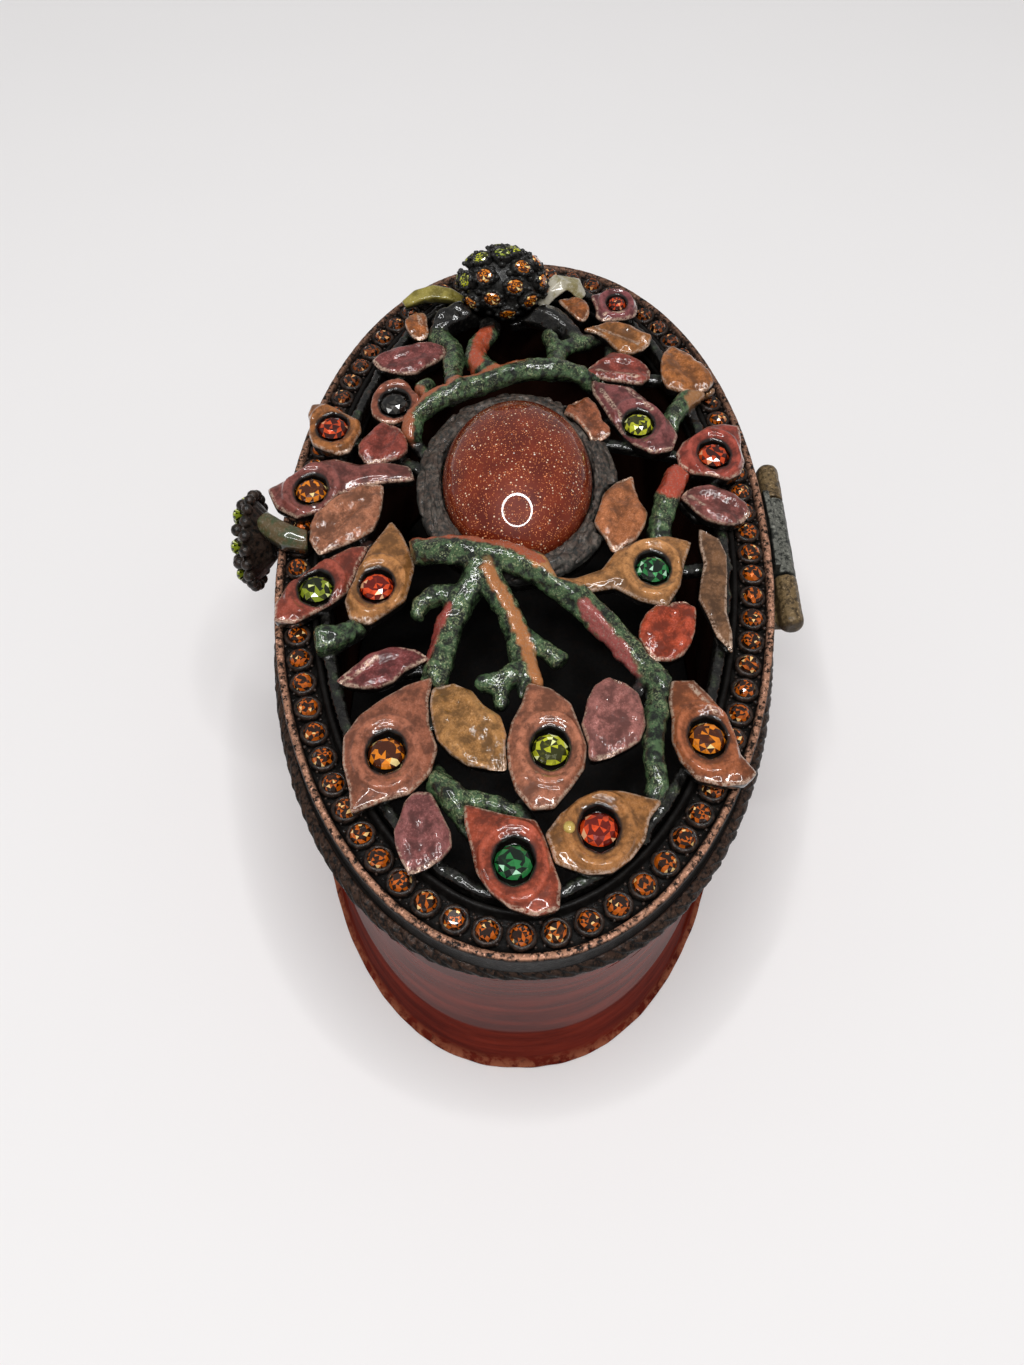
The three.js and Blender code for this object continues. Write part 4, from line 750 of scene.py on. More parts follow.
def turned(profile: Profile, steps: int, closed: bool = False) -> bmesh.types.BMesh:
    """Turn a profile about Z.

    Args:
        profile: Points as (radius, height), which start and end on the axis unless it is closed.
        steps: Steps in the turn.
        closed: Whether the profile is a closed loop off the axis.

    Returns:
        The turned mesh.
    """
    bm = bmesh.new()
    verts = [bm.verts.new((radius, 0.0, z)) for radius, z in profile]
    loop = [*verts, verts[0]] if closed else verts
    edges = [bm.edges.new(pair) for pair in zip(loop, loop[1:])]
    bmesh.ops.spin(
        bm, geom=[*verts, *edges], cent=(0, 0, 0), axis=(0, 0, 1), dvec=(0, 0, 0), angle=ROUND,
        steps=steps, use_merge=True, use_duplicate=False,
    )
    bmesh.ops.remove_doubles(bm, verts=bm.verts, dist=0.001 * MM)
    return bm


def stamp(bm: bmesh.types.BMesh, mesh: bpy.types.Mesh, place: Matrix) -> None:
    """Add a copy of a mesh at a place.

    Args:
        bm: What it is added to.
        mesh: The mesh.
        place: Where it goes.
    """
    before = len(bm.verts)
    bm.from_mesh(mesh)
    bm.verts.ensure_lookup_table()
    bmesh.ops.transform(bm, matrix=place, verts=bm.verts[before:])


def as_mesh(name: str, bm: bmesh.types.BMesh) -> bpy.types.Mesh:
    """Keep a bmesh as a mesh to stamp from.

    Args:
        name: The mesh's name.
        bm: The bmesh, which is freed.

    Returns:
        The mesh.
    """
    bmesh.ops.recalc_face_normals(bm, faces=bm.faces)
    mesh = bpy.data.meshes.new(name)
    bm.to_mesh(mesh)
    bm.free()
    return mesh


def ball(name: str, radius: float, subdivisions: int = 1) -> bpy.types.Mesh:
    """A small bead to stamp from.

    Args:
        name: The mesh's name.
        radius: Its radius.
        subdivisions: How round it is.

    Returns:
        The mesh.
    """
    bm = bmesh.new()
    bmesh.ops.create_icosphere(bm, subdivisions=subdivisions, radius=radius)
    return as_mesh(name, bm)


def soften(bm: bmesh.types.BMesh, passes: int) -> None:
    """Smooth a mesh.

    Args:
        bm: The mesh.
        passes: How many times.
    """
    for _ in range(passes):
        bmesh.ops.smooth_vert(
            bm, verts=bm.verts, factor=0.5, use_axis_x=True, use_axis_y=True, use_axis_z=True
        )
    bm.normal_update()


def remeshed(node: str, voxel: float, passes: int) -> bmesh.types.BMesh:
    """A fine, softened copy of a node's solid.

    Args:
        node: The node.
        voxel: Size of the new faces.
        passes: Passes of smoothing.

    Returns:
        The softened mesh.
    """
    merged = bmesh.new()
    merged.from_mesh(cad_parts[node].data)
    bmesh.ops.remove_doubles(merged, verts=merged.verts, dist=0.002 * MM)
    coarse = add_object(f"coarse_{node}", merged)
    change = coarse.modifiers.new("remesh", "REMESH")
    change.mode = "VOXEL"
    change.voxel_size = voxel
    graph = bpy.context.evaluated_depsgraph_get()
    fine = bmesh.new()
    fine.from_mesh(coarse.evaluated_get(graph).to_mesh())
    old = coarse.data
    bpy.data.objects.remove(coarse)
    bpy.data.meshes.remove(old)
    soften(fine, passes)
    return fine


def brilliant(radius: float, height: float, seed: int) -> bpy.types.Mesh:
    """A round cut crystal whose girdle is at z = 0, its table cut into wedges.

    Args:
        radius: Girdle radius.
        height: Height of the whole stone.
        seed: Seed of its facets' painted reflections.

    Returns:
        Its mesh, with a facet factor on each face.
    """
    bm = bmesh.new()
    for turn, share, lift, count in (
        (0.0, 0.6, 0.4, 11), (0.5, 0.83, 0.26, 11), (0.0, 1.0, 0.0, 22),
        (0.5, 0.55, -0.38, 8), (0.0, 0.12, -0.58, 4),
    ):
        circle = bmesh.ops.create_circle(bm, segments=count, radius=radius * share)["verts"]
        spot = Matrix.Translation((0, 0, lift * height)) @ Matrix.Rotation(turn * ROUND / count, 4, "Z")
        bmesh.ops.transform(bm, matrix=spot, verts=circle)
    hull = bmesh.ops.convex_hull(bm, input=bm.verts)
    loose = [item for item in hull["geom_interior"] if isinstance(item, bmesh.types.BMVert)]
    bmesh.ops.delete(bm, geom=loose, context="VERTS")
    bmesh.ops.dissolve_limit(bm, angle_limit=math.radians(1), verts=bm.verts, edges=bm.edges)
    bm.normal_update()
    table = [face for face in bm.faces if face.normal.z > 0.99]
    bmesh.ops.inset_individual(bm, faces=table, thickness=0.17 * radius, depth=0.0)
    bmesh.ops.poke(bm, faces=table)
    mesh = as_mesh("cut_stone", bm)
    chance = random.Random(seed)
    layer = mesh.attributes.new("facet", "FLOAT", "FACE")
    # Each facet draws a painted reflection: mostly dark on the table, more often bright or a flash on the
    # crown.
    for face, slot in zip(mesh.polygons, layer.data):
        wedge = face.normal.z > 0.99
        dark, flash = (0.72, 0.98) if wedge else (0.48, 0.95)
        draw = chance.random()
        if draw < dark:
            slot.value = chance.uniform(0.0, 0.35)
        else:
            slot.value = chance.uniform(0.6, 0.88) if draw < flash else 1.0
    return mesh


# Each glass gives the deep and bright colours of its painted reflections, and its painted flash.
GLASS = {
    shade: CutCrystal(f"crystal_{shade}", *map(srgb, codes))
    for shade, codes in {
        "amber": (0x241006, 0xC8600F, 0xFFD28A),
        # The far stones' darker amber is painted shade.
        "shaded_amber": (0x120905, 0x8A4210, 0xF0B070),
        "honey": (0x4A1E06, 0xF08A1C, 0xFFE49A),
        "ruby": (0x3C0A04, 0xD84A18, 0xFFB080),
        "olive": (0x191F08, 0x8E9C24, 0xF0F8A0),
        "lime": (0x34360C, 0xC8CC2C, 0xFCFFB0),
        "emerald": (0x061A0E, 0x2C8444, 0xC0F4D0),
        "flame": (0x6A1206, 0xEC4E1C, 0xFFC090),
        "smoke": (0x0C0B0A, 0x3A3834, 0xD8D8D4),
    }.items()
}


@dataclass
class BoxShell:
    """The flared body wall, the rope band under the lid, and the plate below."""

    wall: float = 1.8 * MM
    foot_inset: float = 0.5 * MM
    waist_inset: float = 2.4 * MM
    waist_height: float = 17 * MM
    shoulder_height: float = 32.2 * MM
    shoulder_inset: float = 1.2 * MM
    foot_swell: float = 0.35 * MM
    foot_lap: float = 0.3 * MM
    foot_fillet: float = 1.8 * MM
    rope_height: float = 2.4 * MM
    rope_seat: float = 0.9 * MM
    strand_base: float = 0.3 * MM
    strand_rise: float = 0.47 * MM
    strand_pitch: float = 2.0 * MM
    strand_turns: float = 2.2
    steps: int = 240

    def outer(self, share: float) -> tuple[float, float]:
        """Point of the outside's curve.

        Args:
            share: Share of the way from the foot to the shoulder.

        Returns:
            Its inset and height.
        """
        low, high = 1.2 * MM, self.shoulder_height
        z = low + (high - low) * share
        below = z < self.waist_height
        side = (z - self.waist_height) / (self.waist_height if below else high - self.waist_height)
        ends = self.foot_inset + self.foot_swell if below else self.shoulder_inset
        return ends + (self.waist_inset - ends) * (1 - side * side), z

    def build_wall(self) -> None:
        """Spin the wall, with the foot's fillet and the groove that the rope lies in."""
        rope_low = PARTING - self.rope_height
        foot = self.foot_inset + self.wall
        profile = [
            (foot + self.foot_lap, BODY_LOW.z), (self.foot_inset + 0.25 * MM, BODY_LOW.z),
            (self.foot_inset, 0.3 * MM), (self.foot_inset, 0.9 * MM),
            *(self.outer(i / 20) for i in range(21)),
            (0.6 * MM, rope_low - 0.5 * MM), (0.4 * MM, rope_low),
            (self.rope_seat, rope_low), (self.rope_seat, PARTING), (2.6 * MM, PARTING), (2.6 * MM, rope_low),
            (self.waist_inset + self.wall, self.waist_height),
            (foot + self.foot_fillet, PLATE_HIGH.z + 1.5 * MM), (foot + self.foot_fillet, PLATE_HIGH.z),
            (foot + self.foot_lap, PLATE_HIGH.z),
        ]

        def foot_wear(share: float, inset: float, z: float) -> tuple[float, float]:
            """Wobble the foot's edge a little."""
            near = 1 - smoothstep(0.8 * MM, 2.5 * MM, z)
            return inset + 0.12 * MM * near * noise.noise(BODY_OVAL.around(share, z) / (2.5 * MM)), z

        obj = add_object("body_wall", spun_ring(BODY_OVAL, profile, 2 * self.steps, shape=foot_wear))
        level = 0.02
        paint(obj, "inner", lambda place, normal: float(normal.xy.dot(place.xy) < level * place.xy.length))
        paint(obj, "worn", lambda place, normal: 1 - smoothstep(0.7 * MM, 1.6 * MM, place.z))
        settle(obj, Body.BOX, BodyEnamel().material(), "box_body")

    def build_rope(self) -> None:
        """Spin the rope with slanting strands, parted at the hinge."""
        scallops = round(BODY_OVAL.length() / self.strand_pitch)
        middle_z = PARTING - self.rope_height / 2
        section = [(0.85 * MM, middle_z - 0.9 * MM), (0.85 * MM, middle_z + 0.9 * MM)]
        for i in range(23):
            turn = math.pi * (0.5 - i / 22)
            section.append((0.85 * MM - 1.02 * MM * math.cos(turn), middle_z + 1.15 * MM * math.sin(turn)))

        def twist(share: float, inset: float, z: float) -> tuple[float, float]:
            """Raise the strands, each with a fine groove along it.

            Args:
                share: Share of the way round.
                inset: The point's inset.
                z: Its height.

            Returns:
                The new inset and height.
            """
            slant = (z - middle_z) / self.rope_height
            phase = math.pi * (share * scallops + self.strand_turns * slant)
            strand = math.sqrt(abs(math.cos(phase)))
            fine = 0.03 * MM * math.cos(6 * phase)
            outer = smoothstep(0.85 * MM, 0.5 * MM, inset)
            rough = 0.12 * MM * noise.noise(BODY_OVAL.around(share, z) / (0.9 * MM))
            return inset + outer * (self.strand_base - self.strand_rise * strand + fine + rough), z

        start, end = self.hinge_shares()
        obj = add_object("rope_twist", spun_ring(BODY_OVAL, section, scallops * 14, end, start + 1.0, twist))
        paint(obj, "worn", lambda place, normal: 0.1 * smoothstep(0.2, 0.9, normal.z))
        finish = AntiqueMetal("rope_metal", light=srgb(0x22201E), rough=0.36, coat=0.04, specular=0.1)
        settle(obj, Body.BOX, finish.material(), "rope_band")

    def hinge_shares(self) -> tuple[float, float]:
        """Shares of the outline where the rope stops and starts again beside the hinge.

        Returns:
            The share at the hinge's +X end and the share at its -X end.
        """
        plan = [BODY_OVAL.point(angle, 0) for angle in BODY_OVAL.even_angles(720)]
        near = [i / 720 for i, p in enumerate(plan) if p.y > 0 and HINGE_LOW.x < p.x < HINGE_HIGH.x]
        return near[0], near[-1]

    def dress_plate(self) -> None:
        """Give the bottom plate its finish."""
        finish = AntiqueMetal("plate_metal", light=srgb(0x241A14), rough=0.7)
        dress(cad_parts["bottom_plate"], finish.material())


@dataclass
class LidRim:
    """The lid's casting with its copper edge and its channel of set crystals."""

    edge: float = 0.8 * MM
    channel: float = 3.6 * MM
    depth: float = 0.9 * MM
    stone: float = 1.15 * MM
    pitch: float = 3.3 * MM
    steps: int = 900
    shaded_end: float = -22 * MM
    waver: float = 0.05 * MM
    stone_height: float = 1.7 * MM
    seat_drop: float = 0.12 * MM
    bead: float = 0.3 * MM
    crown: float = 0.36 * MM

    def build_casting(self) -> None:
        """Spin the casting's profile and rough up its edges."""
        top, floor = EDGE_TOP, EDGE_TOP - self.depth
        inner = self.edge + self.channel
        ledge = inner + 0.6 * MM
        profile = [
            (0, PARTING), (0.02 * MM, PARTING + 0.2 * MM), (0.15 * MM, (PARTING + top) / 2),
            (0.02 * MM, top - 0.45 * MM),
            (0.06 * MM, top - 0.2 * MM), (0.2 * MM, top - 0.04 * MM), (0.4 * MM, top - 0.02 * MM),
            (0.6 * MM, top - 0.03 * MM), (self.edge, top - 0.1 * MM),
            (self.edge + 0.14 * MM, floor + 0.2 * MM),
            (self.edge + 0.3 * MM, floor), (self.edge + 0.9 * MM, floor), (inner - 0.9 * MM, floor),
            (inner - 0.3 * MM, floor), (inner - 0.1 * MM, floor + 0.2 * MM), (inner, top + 0.2 * MM),
            (inner + 0.15 * MM, top + self.crown), (ledge - 0.15 * MM, top + self.crown),
            (ledge, top + 0.2 * MM),
            (ledge, top - 1.3 * MM), (ledge + 1.6 * MM, top - 1.3 * MM), (ledge + 1.6 * MM, top - 2.3 * MM),
            (4.1 * MM, top - 2.3 * MM), (4.1 * MM, RIM_LOW.z), (2.9 * MM, RIM_LOW.z), (2.9 * MM, PARTING),
        ]

        def hand_made(share: float, inset: float, z: float) -> tuple[float, float]:
            """Pit the top edge and let the casting's lines waver.

            Args:
                share: Share of the way round.
                inset: The point's inset.
                z: Its height.

            Returns:
                The new inset and height.
            """
            if z < floor - 0.1 * MM or z > top + 0.3 * MM:
                return inset, z
            waver = noise.noise(LID_OVAL.around(share, inset) / (3 * MM))
            pit = noise.noise(LID_OVAL.around(share, inset * 2) / (0.7 * MM))
            rough = 0.05 if inset < self.edge + 0.1 * MM else 0.12
            drop = rough * MM * (abs(pit) + max(0.0, -waver))
            return inset + self.waver * waver + self.waver * abs(pit), z - drop

        obj = add_object("rim_casting", spun_ring(LID_OVAL, profile, self.steps, shape=hand_made))

        def edge_wear_with_far_shade(place: Vector, normal: Vector) -> float:
            """Copper shows on the upward side of the outer edge; less of it at the far end is painted shade.

            Args:
                place: Place of the vertex.
                normal: Its normal.

            Returns:
                Share of bare copper, cut at the far end as painted shade.
            """
            upward = smoothstep(0.35, 0.75, normal.z)
            gap = (LID_OVAL.point(self.turn(place), 0) - place.xy).length
            outer = 1 - smoothstep(self.edge + 0.05 * MM, self.edge + 0.25 * MM, gap)
            # The fall towards the far end is painted shade, not wear.
            return upward * outer * (0.4 + 0.6 * smoothstep(-35 * MM, 5 * MM, place.x))

        paint(obj, "worn", edge_wear_with_far_shade)
        finish = AntiqueMetal("rim_metal", light=srgb(0x22201E), coat=0.04, specular=0.1)
        settle(obj, Body.LID, finish.material(), "lid_rim")

    def turn(self, place: Vector) -> float:
        """The outline's turn at which a place is seen from the middle.

        Args:
            place: The place.

        Returns:
            The turn in radians.
        """
        power = LID_OVAL.near_power if place.x > 0 else LID_OVAL.power
        across, along = place.y / LID_OVAL.half_width, place.x / LID_OVAL.half_length
        return math.atan2(
            math.copysign(abs(across) ** (power / 2), across), math.copysign(abs(along) ** (power / 2), along)
        )

    def places(self) -> list[tuple[Vector, float]]:
        """Places of the channel's stones.

        Returns:
            Each stone's place in plan and the turn of the outline's normal there.
        """
        middle = self.edge + self.channel / 2
        count = round(LID_OVAL.length(middle) / self.pitch)
        spots = []
        for angle in LID_OVAL.even_angles(count, middle)[:-1]:
            point = LID_OVAL.point(angle, middle)
            out = LID_OVAL.point(angle, 0) - point
            spots.append((point, math.atan2(out.y, out.x)))
        return spots

    def build_stones(self) -> None:
        """Set a crystal in a dark collar with beads at each place."""
        stones, collars = {"amber": bmesh.new(), "shaded_amber": bmesh.new()}, bmesh.new()
        cuts = [brilliant(self.stone, self.stone_height, seed) for seed in range(12)]
        collar = as_mesh("collar", self.collar())
        bead = ball("bead", self.bead)
        chance = random.Random(7)
        for i, (point, turn) in enumerate(self.places()):
            spot = Matrix.Translation((point.x, point.y, EDGE_TOP - self.seat_drop))
            spot = spot @ Matrix.Rotation(turn, 4, "Z")
            lean = [Matrix.Rotation(chance.uniform(-0.12, 0.12), 4, axis) for axis in "XY"]
            # Stones past the far end take darker glass: painted shade on the far side.
            shade = "shaded_amber" if point.x < self.shaded_end else "amber"
            spin = Matrix.Rotation(chance.uniform(0, ROUND), 4, "Z")
            stamp(stones[shade], cuts[i % len(cuts)], spot @ lean[0] @ lean[1] @ spin)
            stamp(collars, collar, spot @ lean[1])
            for side in (-1, 1):
                for across in (-1, 1):
                    out = across * chance.uniform(1.0, 1.4)
                    offset = Vector((out, side * chance.uniform(1.15, 1.4), -0.05)) * MM
                    size = Matrix.Scale(chance.uniform(0.7, 1.1), 4)
                    stamp(collars, bead, spot @ Matrix.Translation(offset) @ size)
        for shade, bm in stones.items():
            obj = add_object(f"channel_stones_{shade}", bm, smooth=False, outward=False)
            settle(obj, Body.LID, GLASS[shade].material())
        soften(collars, 1)
        for vertex in collars.verts:
            vertex.co += 0.1 * MM * noise.noise_vector(vertex.co / (0.8 * MM))
        seats = add_object("channel_collars", collars, outward=False)
        paint(seats, "worn", lambda place, normal: 0.06)
        settle(seats, Body.LID, AntiqueMetal("collar_metal", light=srgb(0x2A2725), rough=0.34).material())

    def collar(self) -> bmesh.types.BMesh:
        """A low round collar that grips a stone.

        Returns:
            Its mesh, with the stone's girdle at z = 0.
        """
        low, high = -0.75 * MM, 0.12 * MM
        section = [
            (self.stone - 0.12 * MM, low), (self.stone + 0.5 * MM, low),
            (self.stone + 0.42 * MM, high - 0.1 * MM),
            (self.stone + 0.16 * MM, high + 0.04 * MM), (self.stone - 0.08 * MM, high),
        ]
        return turned(section, 16, closed=True)


@dataclass(frozen=True)
class Strip:
    """A strip of coloured enamel along a branch, as a line in plan in millimetres."""

    tint: int
    half_width: float
    line: tuple[tuple[float, float], ...]

    def cover(self, place: Vector) -> float:
        """How much of the strip's colour a place has.

        Args:
            place: The place on a branch.

        Returns:
            A share from 0 to 1.
        """
        x, y = place.x / MM, place.y / MM
        nearest = math.inf
        for (ax, ay), (bx, by) in zip(self.line, self.line[1:]):
            dx, dy = bx - ax, by - ay
            along = min(max(((x - ax) * dx + (y - ay) * dy) / (dx * dx + dy * dy), 0.0), 1.0)
            nearest = min(nearest, math.hypot(x - ax - along * dx, y - ay - along * dy))
        ragged = 0.35 * noise.noise(place / (0.8 * MM))
        return 1 - smoothstep(self.half_width - 0.2, self.half_width + 0.15, nearest + ragged)


STRIPS = (
    Strip(0xA5502F, 0.75, ((4.1, -14.2), (5.5, -9.8), (6.8, -5.2), (7.9, -1.2), (9.7, 1.7))),
    Strip(0xB97D48, 1.1, ((9.7, 1.7), (10.6, 6.2), (8.6, 9.9))),
    Strip(0xB0703F, 0.75, ((10.2, -4.3), (12.8, -2.5), (15.1, -1.2), (18.5, 0.0), (21.4, 0.9), (25.5, 2.2))),
    Strip(0x9A4D48, 0.8, ((14.1, 6.7), (17.1, 8.8), (20.2, 10.9), (23.0, 12.0))),
    Strip(0x9A4038, 0.7, ((14.4, -8.7), (16.9, -9.8), (20.2, -10.6))),
    Strip(
        0xA5562F, 0.6,
        ((-17.6, -14.6), (-20.5, -11.2), (-22.4, -6.9), (-23.6, -3.8), (-25.2, -0.9), (-26.8, 2.4)),
    ),
    Strip(0xB04A2A, 1.0, ((-35.0, -5.5), (-30.8, -6.3), (-25.3, -6.7))),
    Strip(0x9C5636, 2.2, ((-22.8, -18.8), (-20.4, -15.2), (-17.7, -16.4), (-12.6, -16.3))),
    Strip(0xB04630, 1.6, ((-10.1, 19.6), (-6.6, 18.3), (-4.6, 17.4))),
    Strip(0xA5452E, 1.8, ((4.8, -20.0), (3.1, -16.5), (3.6, -15.0))),
    Strip(0x9A6A40, 1.6, ((-20.9, 22.2), (-24.6, 24.4))),
)


@dataclass
class Openwork:
    """The branches, the nest and the goldstone."""

    voxel: float = 0.28 * MM
    nest_voxel: float = 0.18 * MM
    berry_start: float = -33 * MM
    swell: float = 0.24
    ridges: float = 0.17
    lumps: float = 0.22
    bark_swell: float = 0.1
    bark_groove: float = 0.34
    bark_grain: float = 0.13

    def build_branches(self) -> None:
        """Soften the branches, raise bark on them and paint their strips."""
        bm = remeshed("branch_frame", self.voxel, 4)
        for vertex in bm.verts:
            if vertex.co.z > SEAT - 0.3 * MM:
                ridge = noise.noise(vertex.co / (1.3 * MM)) + 0.6 * noise.noise(vertex.co / (0.55 * MM))
                lump = noise.noise(vertex.co / (3.2 * MM))
                vertex.co += vertex.normal * (self.ridges * ridge + self.lumps * lump + self.swell) * MM
        obj = add_object("branches", bm, outward=False)
        # More speckle on upward faces: painted sheen on the tops.
        paint(obj, "speckle_and_upward_sheen", lambda place, normal: 0.35 + 0.65 * smoothstep(0.0, 0.7, normal.z))

        def low(place: Vector, normal: Vector) -> float:
            """Find the bare casting: the rods and hoop, and the dark twigs that carry the berry.

            Args:
                place: Place of the vertex.
                normal: Its normal.

            Returns:
                1 where it is bare, 0 where it is enamelled.
            """
            height = place.z + 0.5 * MM * noise.noise(place / MM)
            under = 1 - smoothstep(SEAT + 0.1 * MM, SEAT + 1.0 * MM, height)
            ragged = 2 * MM * noise.noise(place / (3 * MM))
            return max(under, 1 - smoothstep(self.berry_start - 2 * MM, self.berry_start, place.x + ragged))

        paint(obj, "low", low)
        covers, tints = [], []
        for vertex in obj.data.vertices:
            shares = ((strip.cover(vertex.co), strip.tint) for strip in STRIPS)
            share, tint = max(shares, key=lambda pair: pair[0])
            covers.append(share)
            tints.extend((*srgb(tint), 1.0))
        obj.data.attributes.new("painted", "FLOAT", "POINT").data.foreach_set("value", covers)
        obj.data.attributes.new("strip", "FLOAT_COLOR", "POINT").data.foreach_set("color", tints)
        settle(obj, Body.LID, BranchEnamel().material(), "branch_frame")

    def build_nest(self) -> None:
        """Cut long wandering grooves in the nest, as in twisted bark."""
        bm = remeshed("cabochon_nest", self.nest_voxel, 4)
        grip = 3.2
        for vertex in bm.verts:
            x = (vertex.co.x - CABOCHON_OVAL.x) / CABOCHON_OVAL.half_length
            y = (vertex.co.y - CABOCHON_OVAL.y) / CABOCHON_OVAL.half_width
            size = math.hypot(x, y)
            across = (size - 1) * 11.0
            wander = 0.9 * noise.noise(Vector((x / size * 1.5, y / size * 1.5, 5.0)))
            level = (vertex.co.z - SEAT) / MM
            along = (across + wander + 0.5 * level) / 0.75
            deep = noise.noise(Vector((x / size * grip, y / size * grip, along)))
            fine = noise.noise(Vector((x / size * 7, y / size * 7, (across + wander + level) / 0.3)))
            groove = 1 - smoothstep(0.0, 0.16, abs(deep))
            vertex.co += vertex.normal * (
                self.bark_swell - self.bark_groove * groove + self.bark_grain * fine
            ) * MM
        obj = add_object("nest_bark", bm, outward=False)
        paint(obj, "worn", lambda place, normal: 0.1 * smoothstep(0.5, 0.9, normal.z))
        finish = AntiqueMetal(
            "nest_metal", dark=srgb(0x2C2C2A), light=srgb(0x6C6A64), rough=0.42, grain=0.22 * MM,
            depth=0.08 * MM,
        )
        settle(obj, Body.LID, finish.material(), "cabochon_nest")

    def build_cabochon(self) -> None:
        """Raise the goldstone's dome."""
        low, high = CABOCHON_LOW.z, CABOCHON_HIGH.z
        girdle = 0.9 * MM
        profile = [(0.0, low), (0.97, low), (1.0, low + 0.3 * MM)]
        for i in range(32):
            turn = math.pi / 2 * i / 32
            profile.append((math.cos(turn), low + girdle + (high - low - girdle) * math.sin(turn)))
        profile.append((0.0, high))
        bm = turned(profile, 128)
        scale = Matrix.Diagonal((CABOCHON_OVAL.half_length, CABOCHON_OVAL.half_width, 1.0, 1.0))
        place = Matrix.Translation((CABOCHON_OVAL.x, CABOCHON_OVAL.y, 0.0)) @ scale
        bmesh.ops.transform(bm, matrix=place, verts=bm.verts)
        settle(add_object("goldstone_dome", bm), Body.LID, Goldstone().material(), "goldstone_cabochon")


@dataclass(frozen=True)
class LeafLook:
    """One leaf's enamel and, where it has one, its crystal."""

    tint: int
    sheen: Sheen = Sheen.PEARL
    glass: str | None = None


LEAVES = {
    "wine_thumb": LeafLook(0x80443C, Sheen.PEARL, "honey"),
    "gold_left": LeafLook(0xA9713D, Sheen.PEARL, "flame"),
    "gold_right": LeafLook(0xAF7844, Sheen.PEARL, "emerald"),
    "copper_near": LeafLook(0xA7664A, Sheen.PEARL, "lime"),
    "brown_near_left": LeafLook(0x9C5C42, Sheen.PEARL, "honey"),
    "red_near": LeafLook(0xA0452B, Sheen.PEARL, "emerald"),
    "gold_near_right": LeafLook(0xA16A36, Sheen.PEARL, "flame"),
    "copper_right": LeafLook(0x9C5631, Sheen.PEARL, "honey"),
    "red_left": LeafLook(0x92402E, Sheen.PEARL, "olive"),
    "mauve_right": LeafLook(0x814442, Sheen.PEARL, "lime"),
    "red_hinge": LeafLook(0x9C4030, Sheen.PEARL, "ruby"),
    "amber_left": LeafLook(0xA0622F, Sheen.PEARL, "ruby"),
    "brown_far_left": LeafLook(0x8C4C35, Sheen.PEARL, "smoke"),
    "mauve_far_right": LeafLook(0x7E4042, Sheen.PEARL, "ruby"),
    "tan_thumb": LeafLook(0xA6694A, Sheen.GLITTER),
    "wine_left_small": LeafLook(0x7C3836, Sheen.GLITTER),
    "gold_near": LeafLook(0xA8763F, Sheen.GLITTER),
    "pink_near": LeafLook(0x9C6058, Sheen.GLITTER),
    "pink_near_left": LeafLook(0x8A4F4C, Sheen.GLITTER),
    "red_right_small": LeafLook(0xAE4222, Sheen.GLITTER),
    "twist_right": LeafLook(0x7C5638, Sheen.PEARL),
    "wine_hinge": LeafLook(0x84463F, Sheen.GLITTER),
    "orange_cabochon": LeafLook(0xA9653A, Sheen.GLITTER),
    "tan_cabochon": LeafLook(0x9E5836, Sheen.GLITTER),
    "red_far_right": LeafLook(0x8C3A2C, Sheen.GLITTER),
    "orange_right_far": LeafLook(0xAA662F, Sheen.GLITTER),
    "tan_far_right": LeafLook(0xA0642E, Sheen.PEARL),
    "mauve_far_left": LeafLook(0x7E3E3A, Sheen.GLITTER),
    "red_left_small": LeafLook(0x8C3A2C, Sheen.GLITTER),
    "orange_far": LeafLook(0xA05A26, Sheen.GLITTER),
    "orange_far_left": LeafLook(0xA8602C, Sheen.GLITTER),
}


